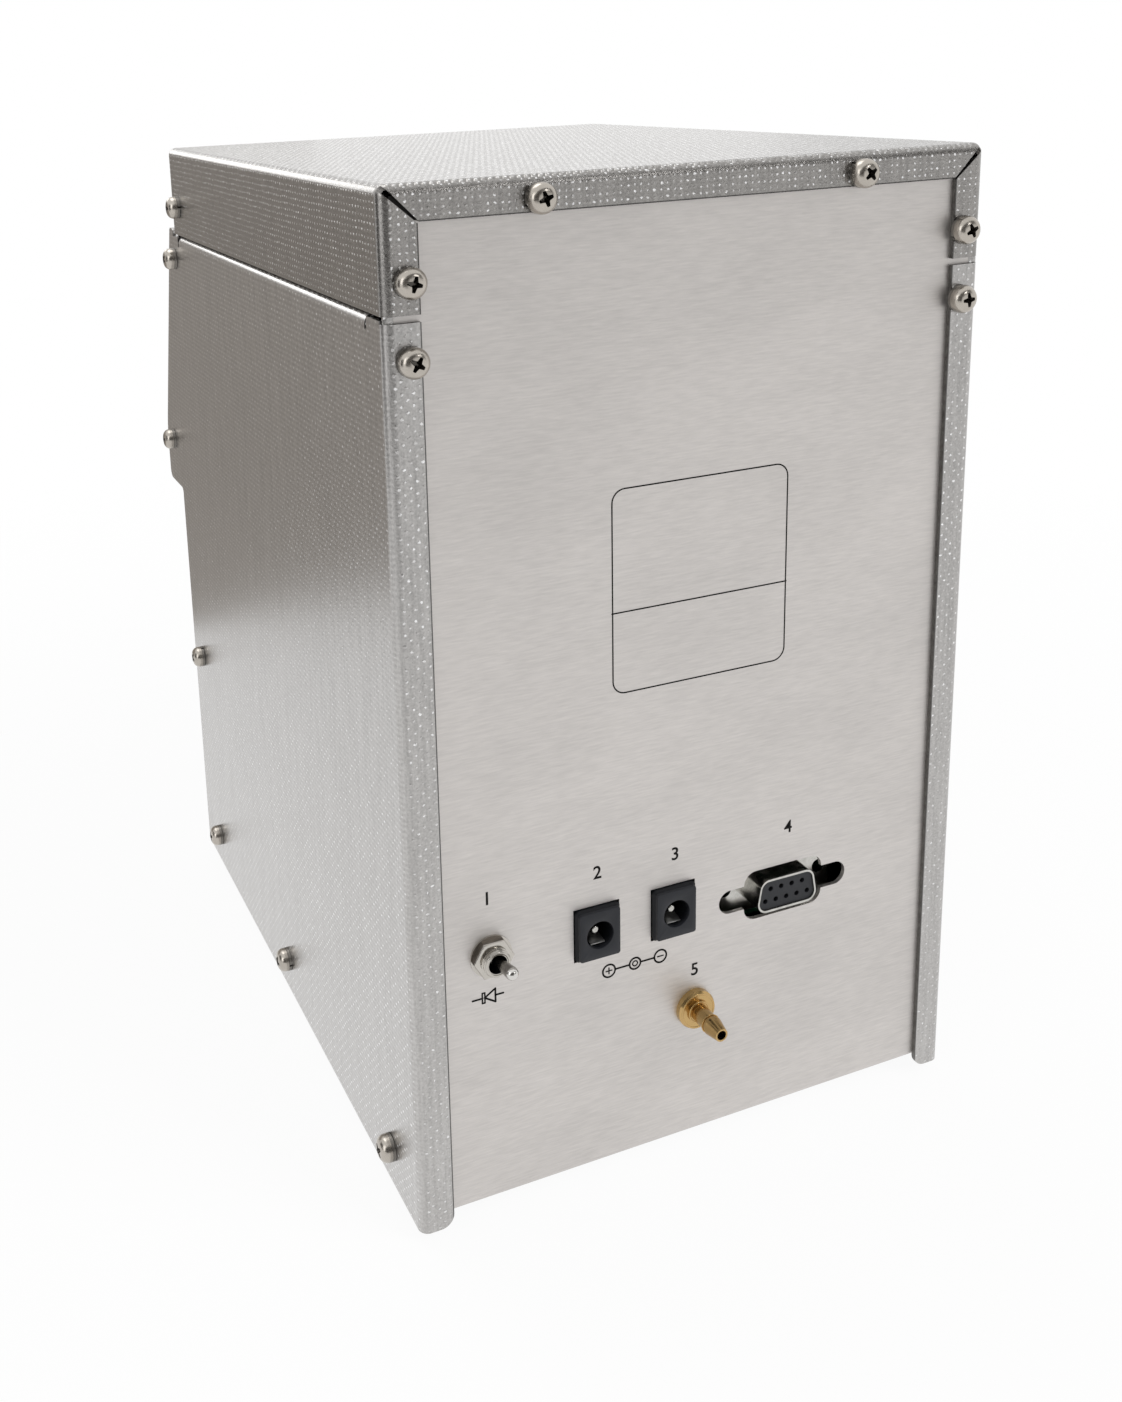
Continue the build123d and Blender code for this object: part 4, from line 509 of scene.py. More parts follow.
for member in ("top_cover", "side_panel_left", "side_panel_right"):
    repaint(member, "shadedCutEdge", isShadedCutEdge)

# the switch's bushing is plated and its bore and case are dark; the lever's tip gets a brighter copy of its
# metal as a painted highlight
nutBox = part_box("switch_nut")
switchCentre = (nutBox[0] + nutBox[1]) / 2
switch = {"behindNut": 1.5, "bore": 2.1, "tip": 1.3}
leverEnd = max(point.co.y for point in nodes["switch_lever"].data.vertices)


def isBushing(polygon):
    middle = polygon.center
    away = math.hypot(middle.x - switchCentre.x, middle.z - switchCentre.z)
    return middle.y > nutBox[0].y - switch["behindNut"] * mm and away > switch["bore"] * mm


repaint("switch_body", "chrome", isBushing)
repaint("switch_lever", "leverTipHighlight", lambda polygon: polygon.center.y > leverEnd - switch["tip"] * mm)
print("finishes on the frame", len(finishes))


# helpers for new pieces; sizes are in millimetres, places in metres, angles in degrees

upright = (math.radians(90), 0, 0)


def turned(angle, axis):
    return Matrix.Rotation(math.radians(angle), 4, axis)


def setMode(mode):
    bpy.ops.object.mode_set(mode=mode)


def pickAll():
    bpy.ops.mesh.select_all(action="SELECT")


def takeUp(piece):
    if bpy.context.object and bpy.context.object.mode != "OBJECT":
        setMode("OBJECT")
    bpy.ops.object.select_all(action="DESELECT")
    piece.select_set(True)
    bpy.context.view_layer.objects.active = piece


def applyAll():
    bpy.ops.object.transform_apply(location=True, rotation=True, scale=True)


def startBlock(size, place=(0, 0, 0)):
    bpy.ops.mesh.primitive_cube_add(size=1 * mm, location=place)
    piece = bpy.context.object
    piece.scale = size
    applyAll()
    return piece


def startCylinder(corners, radius, depth, place=(0, 0, 0), turn=(0, 0, 0)):
    bpy.ops.mesh.primitive_cylinder_add(vertices=corners, radius=radius * mm, depth=depth * mm,
                                        location=place, rotation=turn)
    applyAll()
    return bpy.context.object


def startCircle(corners, radius, fill, place, turn=(0, 0, 0)):
    bpy.ops.mesh.primitive_circle_add(vertices=corners, radius=radius * mm, fill_type=fill,
                                      location=place, rotation=turn)
    return bpy.context.object


def openAll():
    applyAll()
    setMode("EDIT")
    pickAll()


def bevel(offset, segments=2):
    bpy.ops.mesh.bevel(offset=offset * mm, segments=segments)


def extrude(x, y, z):
    bpy.ops.mesh.extrude_region_move(TRANSFORM_OT_translate={"value": (x * mm, y * mm, z * mm)})


def raiseBy(height):
    bpy.ops.transform.translate(value=(0, 0, height * mm))


def narrow(x, y):
    bpy.ops.transform.resize(value=(x, y, 1), center_override=(0, 0, 0))


# of the selected face only a band along its outline stays
def keepBand(width):
    bpy.ops.mesh.inset(thickness=width * mm)
    bpy.ops.mesh.delete(type="FACE")
    pickAll()


def pick(piece, kind, test):
    setMode("EDIT")
    bpy.ops.mesh.select_mode(type=kind)
    bpy.ops.mesh.select_all(action="DESELECT")
    setMode("OBJECT")
    points = piece.data.vertices
    if kind == "EDGE":
        for edge in piece.data.edges:
            edge.select = test(*(points[index].co for index in edge.vertices))
    else:
        for part in piece.data.polygons if kind == "FACE" else points:
            part.select = test(part)
    setMode("EDIT")


def settle(piece, name, *materials, smooth=35):
    takeUp(piece)
    openAll()
    bpy.ops.mesh.normals_make_consistent(inside=False)
    setMode("OBJECT")
    bpy.ops.object.shade_smooth_by_angle(angle=math.radians(smooth))
    piece.name = piece.data.name = name
    piece.data.materials.clear()
    for material in materials:
        piece.data.materials.append(finishes[material])
    return piece


def copyTo(source, name, matrix):
    piece = source.copy()
    piece.data = source.data.copy()
    bpy.context.collection.objects.link(piece)
    piece.data.transform(matrix)
    piece.name = piece.data.name = name
    return piece


def dropSource(source):
    mesh = source.data
    bpy.data.objects.remove(source)
    bpy.data.meshes.remove(mesh)


def setOut(model, name, places):
    for index, place in enumerate(places):
        piece = copyTo(model, f"{name}{index + 1}", Matrix.Translation(place))
        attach(piece, "case")
    dropSource(model)


def cutOut(piece, cutter):
    takeUp(piece)
    cut = piece.modifiers.new("cut", "BOOLEAN")
    cut.operation, cut.solver, cut.object = "DIFFERENCE", "EXACT", cutter
    bpy.ops.object.modifier_apply(modifier="cut")
    dropSource(cutter)


def drill(piece, radius, depth, turn=(0, 0, 0)):
    setMode("OBJECT")
    cutOut(piece, startCylinder(64, radius, depth, turn=turn))


# case screws and their split washers, one of each modelled at the origin with the axis along Z

screw = {"head": 3.0, "rise": 2.4, "round": 1.8, "seat": 0.8, "shank": 1.45, "tip": 3.4,
         "dome": 0.5, "domeRise": 0.06, "point": 0.75}
recess = {"half": 0.62, "arm": 1.25, "taper": 0.6, "middle": 0.2, "above": 0.6, "below": 1.0, "foot": 0.5,
          "round": 0.1, "dark": 0.7, "shadeFrom": 0.3}
screwTop = screw["seat"] + screw["rise"]


def modelScrew():
    middle = (screw["seat"] + screw["rise"] / 2) * mm
    piece = startCylinder(48, screw["head"], screw["rise"], (0, 0, middle))
    top = screwTop * mm - hair
    pick(piece, "EDGE", lambda a, b: min(a.z, b.z) > top)
    bevel(screw["round"], 9)
    pick(piece, "FACE", lambda face: face.normal.z > 0.99 and face.center.z > top)
    bpy.ops.mesh.inset(thickness=screw["dome"] * mm)
    raiseBy(screw["domeRise"])
    pick(piece, "FACE", lambda face: face.normal.z < -0.99)
    bpy.ops.mesh.inset(thickness=(screw["head"] - screw["shank"]) * mm)
    extrude(0, 0, -(screw["seat"] + screw["tip"]))
    narrow(screw["point"], screw["point"])
    setMode("OBJECT")
    return piece


def modelRecess():
    middle = (screwTop - recess["middle"]) * mm
    piece = startBlock([2 * recess["half"]] * 3, (0, 0, middle))
    pick(piece, "FACE", lambda face: abs(face.normal.z) < 0.5)
    bpy.ops.mesh.extrude_faces_move(TRANSFORM_OT_shrink_fatten={"value": recess["arm"] * mm})
    beyond = (recess["half"] + recess["arm"] / 2) * mm
    pick(piece, "VERT", lambda point: abs(point.co.x) > beyond)
    narrow(1, recess["taper"])
    pick(piece, "VERT", lambda point: abs(point.co.y) > beyond)
    narrow(recess["taper"], 1)
    pick(piece, "VERT", lambda point: point.co.z > middle)
    raiseBy(recess["above"])
    pick(piece, "VERT", lambda point: point.co.z < middle)
    raiseBy(-recess["below"])
    narrow(recess["foot"], recess["foot"])
    pickAll()
    bevel(recess["round"])
    setMode("OBJECT")
    return piece


screwModel = modelScrew()
cutOut(screwModel, modelRecess())
settle(screwModel, "screwModel", "plated", "recess", smooth=40)
# painted shade: the recess's walls and its deep floor get the darker metal
reach = (recess["half"] + recess["arm"]) * mm
for polygon in screwModel.data.polygons:
    middle = polygon.center
    inside = middle.z > (screw["seat"] + recess["shadeFrom"]) * mm and math.hypot(*middle.xy) < reach
    if inside and (polygon.normal.z < 0.5 or middle.z < (screwTop - recess["dark"]) * mm):
        polygon.material_index = 1

washer = {"inner": 1.65, "outer": 3.0, "thick": 0.68, "above": 0.02, "lift": 0.1, "sweep": 350}


def modelWasher():
    across = (washer["inner"] + washer["outer"]) / 2 * mm
    bpy.ops.mesh.primitive_plane_add(size=1 * mm, rotation=upright,
                                     location=(across, 0, (washer["thick"] / 2 + washer["above"]) * mm))
    piece = bpy.context.object
    piece.scale = (washer["outer"] - washer["inner"], washer["thick"], 1)
    openAll()
    bpy.ops.mesh.spin(steps=44, angle=math.radians(washer["sweep"]), center=(0, 0, 0), axis=(0, 0, 1))
    setMode("OBJECT")
    for point in piece.data.vertices:
        turn = math.atan2(point.co.y, point.co.x) % (2 * math.pi)
        point.co.z += washer["lift"] * mm * turn / (2 * math.pi)
    return piece


washerModel = settle(modelWasher(), "washerModel", "washerSteel", smooth=30)

# x and z on the rear; on both sides the distance from the rear's plane and z
seating = {
    "rear": [(-62.7, 205.2), (-62.7, 190.6), (62.7, 205.2), (62.7, 190.6), (-36.3, 218.6), (36.3, 218.6)],
    "side": [(159.4, 207.1), (168.4, 191.9), (188.3, 134.5), (170.7, 69.7), (164.6, 12.5), (93.1, 12.5),
             (16.6, 12.5)],
    "halfWidth": 68, "firstTurn": 24, "nextTurn": 71,
}
seats = []
for x, z in seating["rear"]:
    seats.append((Vector((x * mm, backPlane, z * mm)), turned(-90, "X")))
for depth, z in seating["side"]:
    for side in (1, -1):
        place = Vector((side * seating["halfWidth"] * mm, backPlane - depth * mm, z * mm))
        seats.append((place, turned(90 * side, "Y")))

for index, (place, tilt) in enumerate(seats):
    turn = turned(seating["firstTurn"] + index * seating["nextTurn"], "Z")
    full = Matrix.Translation(place) @ tilt @ turn
    head = copyTo(screwModel, f"caseScrew{index + 1}", full)
    ring = copyTo(washerModel, f"splitWasher{index + 1}", full)
    for piece, node in ((head, "case_screws"), (ring, "lock_washers")):
        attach(piece, "case")
        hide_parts(node)
dropSource(screwModel)
dropSource(washerModel)
print("screws and washers", len(seats))


# printed marks on the rear panel: thin raised ink

ink = {"rise": 0.03, "line": 0.42, "bold": 0.05, "bevel": 0.49, "digit": 3.0, "fontSize": 1.4}
finishes["ink"] = plastic("panelInk", (0.008, 0.0075, 0.007), 0.6, Specular_IOR_Level=0.1)


def onRear(x, z, lift=0.0):
    return Vector((x * mm, rearFace + lift * mm, z * mm))


def inkBar(name, start, end, width=ink["line"]):
    (x1, z1), (x2, z2) = start, end
    piece = startBlock((math.hypot(x2 - x1, z2 - z1) + width, ink["rise"], width))
    pick(piece, "EDGE", lambda a, b: abs(a.y - b.y) > ink["rise"] * mm / 2)
    bevel(width * ink["bevel"], 3)
    setMode("OBJECT")
    middle = onRear((x1 + x2) / 2, (z1 + z2) / 2, ink["rise"] / 2)
    slope = Matrix.Rotation(-math.atan2(z2 - z1, x2 - x1), 4, "Y")
    piece.data.transform(Matrix.Translation(middle) @ slope)
    return settle(piece, name, "ink")


def inkRing(name, centre, radius, width=ink["line"]):
    piece = startCircle(40, radius + width / 2, "NGON", onRear(*centre), upright)
    openAll()
    keepBand(width)
    extrude(0, ink["rise"], 0)
    return settle(piece, name, "ink")


def inkDigit(name, digit, centre):
    bpy.ops.object.text_add(location=(0, 0, 0))
    piece = bpy.context.object
    piece.data.body = digit
    piece.data.size = ink["digit"] * ink["fontSize"] * mm
    piece.data.extrude = ink["rise"] / 2 * mm
    piece.data.offset = ink["bold"] * mm
    piece.data.align_x, piece.data.align_y = "CENTER", "CENTER"
    bpy.ops.object.convert(target="MESH")
    piece = bpy.context.object
    middle = sum((Vector(corner) for corner in piece.bound_box), Vector()) / 8
    place = Matrix.Translation(onRear(*centre, ink["rise"] / 2))
    piece.data.transform(place @ turned(180, "Z") @ turned(90, "X") @ Matrix.Translation(-middle))
    pick(piece, "VERT", lambda point: True)
    bpy.ops.mesh.remove_doubles(threshold=touch / 100)
    return settle(piece, name, "ink", smooth=20)


def inkFrame(name, left, right, bottom, top, corner, width):
    bpy.ops.mesh.primitive_plane_add(size=1, location=onRear((left + right) / 2, (bottom + top) / 2),
                                     rotation=upright)
    piece = bpy.context.object
    piece.scale = ((right - left) * mm, (top - bottom) * mm, 1)
    openAll()
    bpy.ops.mesh.bevel(offset=corner * mm, segments=8, affect="VERTICES")
    pickAll()
    keepBand(width)
    extrude(0, ink["rise"], 0)
    return settle(piece, name, "ink")


rating = {"left": -21.0, "right": 21.0, "bottom": 116.0, "top": 160.0, "corner": 3.0, "width": 0.3}
divider = 133.8
diode = {"z": 54.7, "left": 47.3, "base": 49.1, "apex": 51.55, "right": 54.3, "half": 1.55,
         "bar": 0.5, "barHalf": 1.35, "barCorner": 0.12, "barLine": 0.34}
polarity = {"z": 52.6, "plus": 22.3, "middle": 15.9, "minus": 9.6, "ring": 1.5, "sign": 0.7,
            "signLine": 0.3, "middleRing": 1.35, "core": 0.6}
digits = {"1": (50.4, 77.4), "2": (24.9, 76.8), "3": (6.0, 76.4), "4": (-23.0, 75.8), "5": (0.9, 46.9)}

marks = [
    inkFrame("plateFrame", **rating),
    inkBar("plateDivider", (rating["left"], divider), (rating["right"], divider), rating["width"]),
]
level = diode["z"]
apex, barEnd = (diode["apex"], level), (diode["apex"] + diode["bar"], level)
lower, upper = (diode["base"], level - diode["half"]), (diode["base"], level + diode["half"])
marks += [
    inkBar("diodeLead1", (diode["right"], level), barEnd),
    inkBar("diodeLead2", (diode["base"], level), (diode["left"], level)),
    inkFrame("diodeBar", apex[0] - ink["line"] / 2, barEnd[0] + ink["line"] / 2, level - diode["barHalf"],
             level + diode["barHalf"], diode["barCorner"], diode["barLine"]),
    inkBar("diodeSide1", apex, upper),
    inkBar("diodeSide2", apex, lower),
    inkBar("diodeSide3", lower, upper),
]
level, middle, ring, sign = (polarity[name] for name in ("z", "middle", "middleRing", "sign"))
for label in ("plus", "minus"):
    x = polarity[label]
    marks.append(inkRing(f"{label}Ring", (x, level), polarity["ring"]))
    marks.append(inkBar(f"{label}Level", (x - sign, level), (x + sign, level), polarity["signLine"]))
x = polarity["plus"]
marks += [
    inkBar("plusUpright", (x, level - sign), (x, level + sign), polarity["signLine"]),
    inkRing("middleRing", (middle, level), ring),
    inkRing("middleCore", (middle, level), polarity["core"], polarity["signLine"]),
    inkBar("polarityLead1", (x - polarity["ring"], level), (middle + ring, level)),
    inkBar("polarityLead2", (middle - ring, level), (polarity["minus"] + polarity["ring"], level)),
]
marks += [inkDigit(f"digit{digit}", digit, place) for digit, place in digits.items()]
for mark in marks:
    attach(mark, "case")
print("marks", len(marks))


# switch thread between the nut and the bushing's mouth

thread = {"root": 2.99, "ridge": 0.13, "pitch": 0.4, "turns": 2, "start": 0.15, "steps": 40}


def modelThread():
    start = (switchCentre.x + thread["root"] * mm, nutBox[1].y + thread["start"] * mm, switchCentre.z)
    piece = startCircle(3, thread["ridge"], "NOTHING", start, (0, 0, math.radians(-90)))
    bpy.context.scene.cursor.location = (switchCentre.x, 0, switchCentre.z)
    bpy.ops.object.origin_set(type="ORIGIN_CURSOR")
    bpy.ops.object.transform_apply(location=False, rotation=True, scale=True)
    coil = piece.modifiers.new("coil", "SCREW")
    coil.axis, coil.angle, coil.screw_offset = "Y", math.radians(360), thread["pitch"] * mm
    coil.iterations, coil.steps, coil.render_steps = thread["turns"], thread["steps"], thread["steps"]
    bpy.ops.object.modifier_apply(modifier="coil")
    setMode("EDIT")
    pickAll()
    bpy.ops.mesh.remove_doubles(threshold=touch)
    bpy.ops.mesh.fill_holes(sides=3)
    bpy.context.scene.cursor.location = (0, 0, 0)
    return settle(piece, "switchThread", "chrome")


switchThread = modelThread()
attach(switchThread, "case")
print("switch thread")


# a bent contact leaf on the floor of each power socket

leaf = {"width": 3.4, "thick": 0.22, "length": 7.0, "start": 0.5, "floor": 2.6, "rise": 1.25,
        "folds": ((0.2, 0.45), (-0.05, 0.55), (-0.3, -0.35)), "end": -0.4, "taper": 0.55, "round": 0.05}


def modelLeaf():
    piece = startBlock((leaf["width"], leaf["length"], leaf["thick"]))
    setMode("EDIT")
    for place, _ in leaf["folds"]:
        pickAll()
        bpy.ops.mesh.bisect(plane_co=(0, place * leaf["length"] * mm, 0), plane_no=(0, 1, 0))
    # it rises towards its middle and dips at its free end
    for place, lift in leaf["folds"]:
        pick(piece, "VERT", lambda point: point.co.y < place * leaf["length"] * mm + hair)
        raiseBy(lift * leaf["rise"])
    pick(piece, "VERT", lambda point: point.co.y < leaf["end"] * leaf["length"] * mm)
    narrow(leaf["taper"], 1)
    pickAll()
    bevel(leaf["round"])
    return settle(piece, "leafModel", "leaf", smooth=50)


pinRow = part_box("socket_pins")
pinMiddle = (pinRow[0] + pinRow[1]) / 2
pinRadius = 0.95 * mm
pinReach = (pinRow[1].x - pinRow[0].x) / 2 - pinRadius
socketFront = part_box("power_sockets")[1].y


def atSockets(behind, below):
    return [Vector((pinMiddle.x + side * pinReach, socketFront - behind * mm, pinMiddle.z - below * mm))
            for side in (1, -1)]


setOut(modelLeaf(), "socketLeaf", atSockets(leaf["start"] + leaf["length"] / 2, leaf["floor"]))
print("socket leaves 2")


# raised face plates of the power sockets

plate = {"width": 9.7, "height": 11.1, "stand": 0.7, "sink": 0.6, "corner": 0.6, "round": 0.18,
         "mouth": 3.15, "drill": 4, "mouthRound": 0.15}


def modelPlate():
    piece = startBlock((plate["width"], plate["stand"] + plate["sink"], plate["height"]),
                       (0, (plate["stand"] - plate["sink"]) / 2 * mm, 0))
    pick(piece, "EDGE", lambda a, b: abs(a.y - b.y) > plate["stand"] * mm)
    bevel(plate["corner"], 4)
    front = plate["stand"] * mm - hair
    pick(piece, "EDGE", lambda a, b: min(a.y, b.y) > front)
    bevel(plate["round"])
    drill(piece, plate["mouth"], plate["drill"], upright)
    rim = plate["mouth"] * mm + 2 * hair
    pick(piece, "EDGE", lambda a, b: all(point.y > front and math.hypot(point.x, point.z) < rim
                                         for point in (a, b)))
    bevel(plate["mouthRound"])
    return settle(piece, "plateModel", "jackFace", smooth=30)


setOut(modelPlate(), "socketFace", atSockets(0, 0))
print("socket faces 2")


# turned beads: rims and shoulders of the air nipple and of the switch's bushing

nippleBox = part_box("air_nipple")
nippleCentre = (nippleBox[0] + nippleBox[1]) / 2
beads = {
    "nippleRim": {"y": rearFace + 1.8 * mm, "radius": 4.0, "across": 0.24, "along": 0.13},
    "nippleCollar": {"y": rearFace + 2.2 * mm, "radius": 2.42, "across": 0.2, "along": 0.14},
    "nippleShoulder": {"y": rearFace + 6.6 * mm, "radius": 2.1, "across": 0.15, "along": 0.12},
    "nippleMouth": {"y": nippleBox[1].y - 0.04 * mm, "radius": 1.34, "across": 0.16, "along": 0.1},
    "switchMouth": {"y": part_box("switch_body")[1].y - 0.05 * mm, "radius": 2.55, "across": 0.3, "along": 0.2,
                    "centre": switchCentre, "finish": "chrome", "slotName": "switch_metal"},
}


def turnBead(name, y, radius, across, along, centre=nippleCentre, finish="brass", slotName="brass"):
    piece = startCircle(16, across, "NOTHING", (centre.x + radius * mm, y, centre.z))
    piece.scale = (1, along / across, 1)
    openAll()
    bpy.ops.mesh.spin(steps=72, angle=2 * math.pi, center=(centre.x, y, centre.z), axis=(0, 1, 0))
    pickAll()
    bpy.ops.mesh.remove_doubles(threshold=touch)
    settle(piece, name, finish, smooth=60)
    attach(piece, "case")


for name, bead in beads.items():
    turnBead(name, **bead)
print("turned beads", len(beads))


# the switch's hexagonal nut with its chamfers

hexNut = {"chamfer": 0.35, "bore": 3.0}


def modelNut():
    wide, height, tall = nutBox[1] - nutBox[0]
    turn = 0 if tall > wide else math.radians(30)
    piece = startCylinder(6, max(wide, tall) / 2 / mm, height / mm, turn=(0, 0, turn))
    top = height / 2 - hair
    pick(piece, "EDGE", lambda a, b: min(a.z, b.z) > top)
    bevel(hexNut["chamfer"])
    drill(piece, hexNut["bore"], 4 * height / mm)
    settle(piece, "hexNut", "chrome", "nutSideShade", smooth=25)
    # painted shade: the nut's side facets get a dark copy of the metal, its faces and chamfers the bright one
    for polygon in piece.data.polygons:
        polygon.material_index = 1 if abs(polygon.normal.z) < 0.1 else 0
    piece.data.transform(Matrix.Translation(switchCentre) @ turned(-90, "X"))
    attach(piece, "case")
    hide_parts("switch_nut")


modelNut()
print("hexagonal nut")


# folded tabs that show through the gap between the lid's and the sides' rear flanges

foldTab = {"width": 2.0, "height": 3.0, "thick": 0.8, "round": 0.12, "x": 66.6, "depth": 1.35, "below": 1.2}


def modelTab():
    piece = startBlock((foldTab["width"], foldTab["thick"], foldTab["height"]))
    setMode("EDIT")
    pickAll()
    bevel(foldTab["round"])
    return settle(piece, "tabModel", "sideSheet", smooth=30)


tabPlaces = [Vector((side * foldTab["x"] * mm, backPlane - foldTab["depth"] * mm,
                     coverBox[0].z - foldTab["below"] * mm)) for side in (1, -1)]
setOut(modelTab(), "foldTab", tabPlaces)
print("fold tabs", len(tabPlaces))


# signs on the keys, laid in the slope of the console

press = next(joint for joint in frame["joints"] if joint["child"] == "key_left")["axis"]
outward = -Vector(press).normalized()
upSlope = Vector((0, outward.z, -outward.y))
slopeTurn = basis((1, 0, 0), upSlope, outward, (0, 0, 0))
keySign = {"radius": 1.7, "line": 0.32, "rise": 0.04, "sink": 0.01, "topDepth": 0.05}


def keyTop(node):
    points = [point.co for point in nodes[node].data.vertices]
    top = max(point.dot(outward) for point in points)
    highest = [point for point in points if point.dot(outward) > top - keySign["topDepth"] * mm]
    middle = sum(highest, Vector()) / len(highest)
    return middle + outward * (top - middle.dot(outward) - keySign["sink"] * mm)


def modelSign(node, corners, turn):
    piece = startCircle(corners, keySign["radius"], "NGON", (0, 0, 0), (0, 0, math.radians(turn)))
    openAll()
    keepBand(keySign["line"])
    extrude(0, 0, keySign["rise"] + keySign["sink"])
    setMode("OBJECT")
    piece.data.transform(Matrix.Translation(keyTop(node)) @ slopeTurn)
    settle(piece, node + "_sign", "keyMark")
    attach(piece, node)


modelSign("key_left", 3, 180)
modelSign("key_middle", 32, 0)
modelSign("key_right", 3, 0)
print("key signs 3")


# character cells on the display glass

cell = {"columns": 20, "rows": 4, "fill": 0.86, "part": 0.84, "rise": 0.02, "corner": 0.25}
glassPoints = [point.co for point in nodes["display_glass"].data.vertices]
glassTop = max(point.dot(outward) for point in glassPoints)
glassUp = [point.dot(upSlope) for point in glassPoints]
glassWide = [point.x for point in glassPoints]
cellWide = (max(glassWide) - min(glassWide)) * cell["fill"] / cell["columns"]
cellTall = (max(glassUp) - min(glassUp)) * cell["fill"] / cell["rows"]


def modelCell():
    piece = startBlock((cellWide * cell["part"] / mm, cellTall * cell["part"] / mm, 2 * cell["rise"]))
    pick(piece, "EDGE", lambda a, b: abs(a.z - b.z) > cell["rise"] * mm)
    bevel(cell["corner"])
    return settle(piece, "cellModel", "cells")


cellModel = modelCell()
glassMiddle = outward * glassTop + upSlope * (max(glassUp) + min(glassUp)) / 2
copies = []
for row in range(cell["rows"]):
    for column in range(cell["columns"]):
        place = glassMiddle + upSlope * (row - (cell["rows"] - 1) / 2) * cellTall
        place.x += (column - (cell["columns"] - 1) / 2) * cellWide
        copies.append(copyTo(cellModel, "cell", Matrix.Translation(place) @ slopeTurn))
dropSource(cellModel)
takeUp(copies[0])
for piece in copies:
    piece.select_set(True)
bpy.ops.object.join()
displayCells = bpy.context.object
displayCells.name = displayCells.data.name = "displayCells"
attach(displayCells, "case")
print("display cells", len(copies))


# light, floor and background, in metres

def aimLamp(name, place, target, size, power, glossy=True):
    data = bpy.data.lights.new(name, "AREA")
    data.shape, data.size, data.energy = "SQUARE", size, power
    lamp = bpy.data.objects.new(name, data)
    bpy.context.collection.objects.link(lamp)
    lamp.location = place
    lamp.rotation_euler = (Vector(target) - Vector(place)).to_track_quat("-Z", "Y").to_euler()
    lamp.visible_glossy = glossy


def bareMaterial(name):
    material = bpy.data.materials.new(name)
    material.use_nodes = True
    tree = material.node_tree
    tree.nodes.remove(tree.nodes["Principled BSDF"])
    return material, tree, tree.nodes["Material Output"].inputs["Surface"]


def addShader(tree, kind, color=None):
    node = addNode(tree, "ShaderNode" + kind)
    if color:
        node.inputs["Color"].default_value = (*color, 1)
    return node.outputs[0]


def mixShaders(tree, *values):
    node = addNode(tree, "ShaderNodeMixShader")
    for socket, value in zip(node.inputs, values):
        tree.links.new(value, socket)
    return node.outputs[0]


# rays that show the background to the camera, also in a mirror or through a pane
def isSeen(tree):
    path = addNode(tree, "ShaderNodeLightPath")
    return calculate(tree, "MAXIMUM", *(path.outputs[f"Is {kind} Ray"]
                                        for kind in ("Camera", "Glossy", "Transmission")))


ground = {"radius": 2.5, "paper": (0.86, 0.86, 0.86), "seenGlow": 0.93, "clearFrom": 0.18, "clearAt": 0.55}
white = (1, 1, 1)
worldLight = {"lighting": 0.55, "seen": 1.0}


def layFloor():
    bpy.ops.mesh.primitive_circle_add(vertices=96, radius=ground["radius"], fill_type="NGON",
                                      location=(0, 0, cadBox[0][2]))
    floor = bpy.context.object
    floor.name = "floor"
    material, tree, surface = bareMaterial("floorMaterial")
    paper = addShader(tree, "BsdfDiffuse", ground["paper"])
    glow = addShader(tree, "Emission", white)
    lit = mixShaders(tree, times(tree, isSeen(tree), ground["seenGlow"]), paper, glow)
    length = addNode(tree, "ShaderNodeVectorMath", operation="LENGTH")
    tree.links.new(objectPlace(tree), length.inputs[0])
    away = remap(tree, length.outputs["Value"], ground["clearFrom"], ground["clearAt"], 0, 1)
    tree.links.new(mixShaders(tree, away, lit, addShader(tree, "BsdfTransparent")), surface)
    floor.data.materials.append(material)


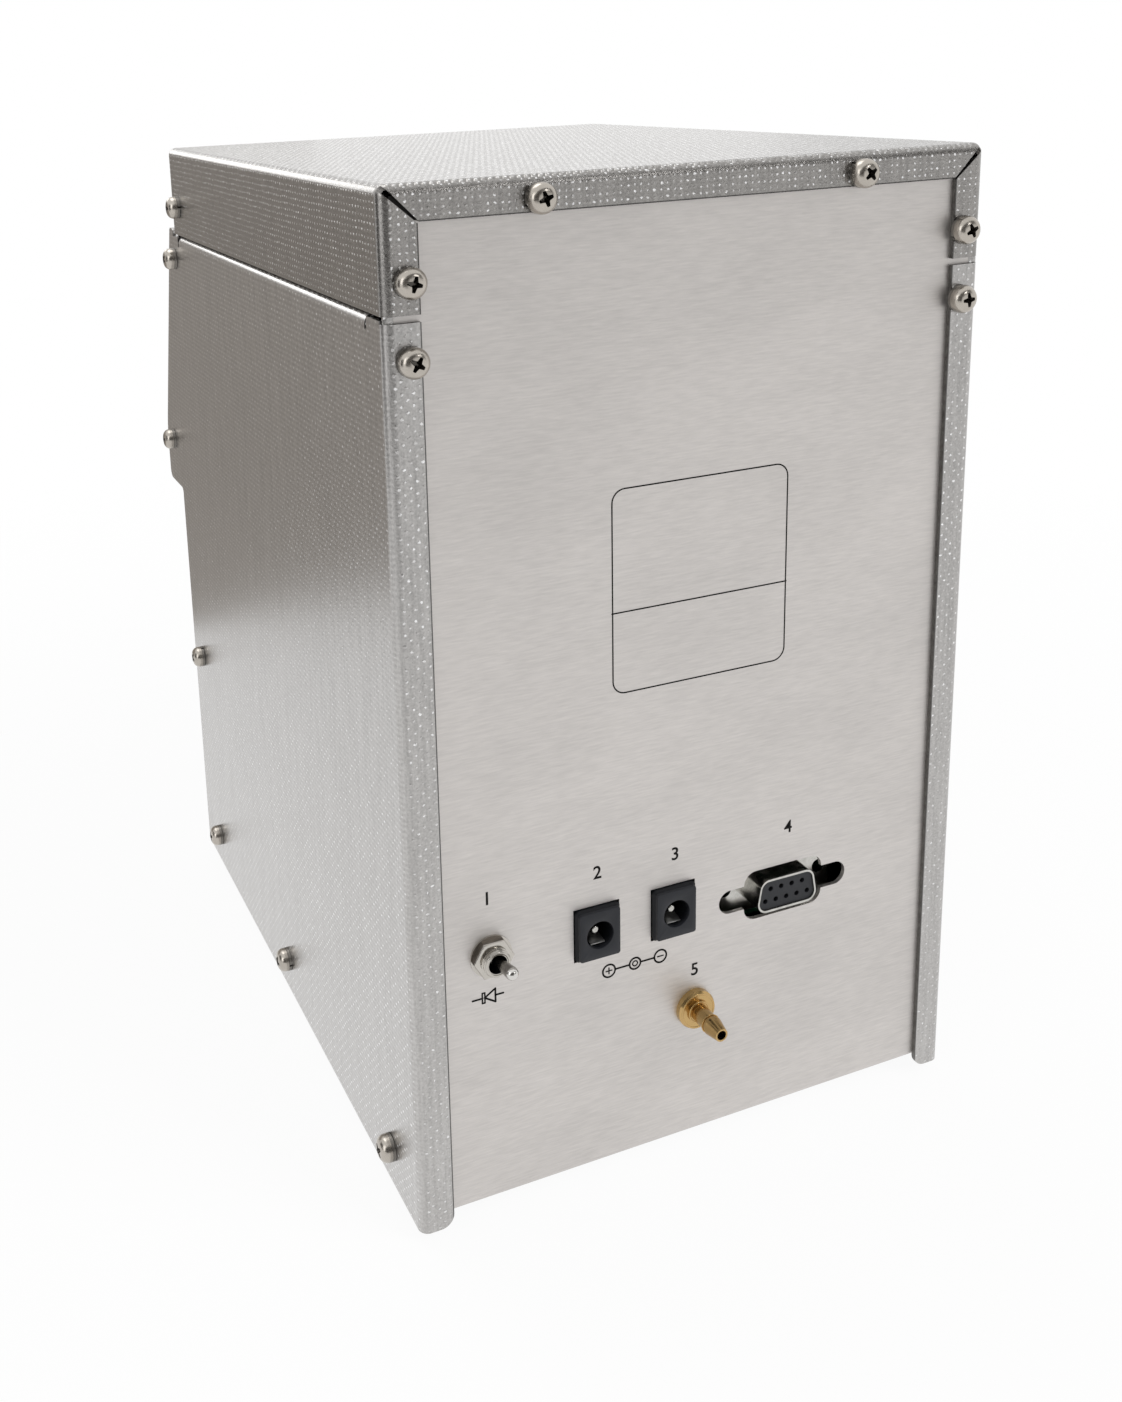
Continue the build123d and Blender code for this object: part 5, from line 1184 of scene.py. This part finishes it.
def lightWorld():
    world = bpy.data.worlds.new("world")
    bpy.context.scene.world = world
    world.use_nodes = True
    tree = world.node_tree
    background = tree.nodes["Background"]
    background.inputs["Color"].default_value = (*white, 1)
    strength = remap(tree, isSeen(tree), 0, 1, worldLight["lighting"], worldLight["seen"])
    tree.links.new(strength, background.inputs["Strength"])


def standCard(name, place, turn, tilt, size, color):
    bpy.ops.mesh.primitive_plane_add(size=1, location=place,
                                     rotation=(math.radians(90 + tilt), 0, math.radians(turn)))
    card = bpy.context.object
    card.name = name
    card.scale = (*size, 1)
    material, tree, surface = bareMaterial(name + "Material")
    tree.links.new(addShader(tree, "Emission", color), surface)
    card.data.materials.append(material)
    card.visible_camera = card.visible_diffuse = card.visible_shadow = card.visible_transmission = False


# each card's place, turn, tilt, size and colour, and each lamp's place, target, size and power
cards = {
    "frontCard": ((0.17, -0.275, 0.122), 0, 0, (0.42, 0.24), (0.39, 0.36, 0.33)),
    "cameraCard": ((0.33, 0.70, 0.30), -25, 0, (0.8, 0.55), (0.11, 0.105, 0.10)),
    "skyCard": ((0.2, -1.05, 0.80), 0, 0, (0.7, 0.6), (1.15, 1.15, 1.15)),
    "rightCard": ((0.72, -0.10, 0.22), -98, 0, (0.45, 0.44), (0.10, 0.095, 0.09)),
    "ceilingCard": ((-0.35, 0.98, 0.62), 8, 35, (1.8, 0.75), (0.16, 0.155, 0.15)),
}
lamps = {
    "keyLamp": ((-0.55, 0.75, 0.75), (0, 0.05, 0.1), 0.5, 5.0, False),
    "glintLamp": ((-0.36, 0.80, 0.55), (0, 0.09, 0.12), 0.14, 0.45),
    "fillLamp": ((0.9, 0.55, 0.5), (0, 0, 0.1), 0.6, 1.6),
    "topLamp": ((0.15, -0.35, 1.1), (0, 0, 0.1), 0.6, 2.2),
    "edgeLamp": ((0.26, -0.95, 0.44), (0.05, 0, 0.2), 0.32, 0.75),
    "frontLamp": ((-0.45, -1.0, 0.42), (0, 0, 0.15), 0.6, 0.3),
}

placeCamera()
lightWorld()
layFloor()
for name, card in cards.items():
    standCard(name, *card)
for name, lamp in lamps.items():
    aimLamp(name, *lamp)
bpy.context.scene.view_settings.view_transform = "Standard"
print("stage is lit")
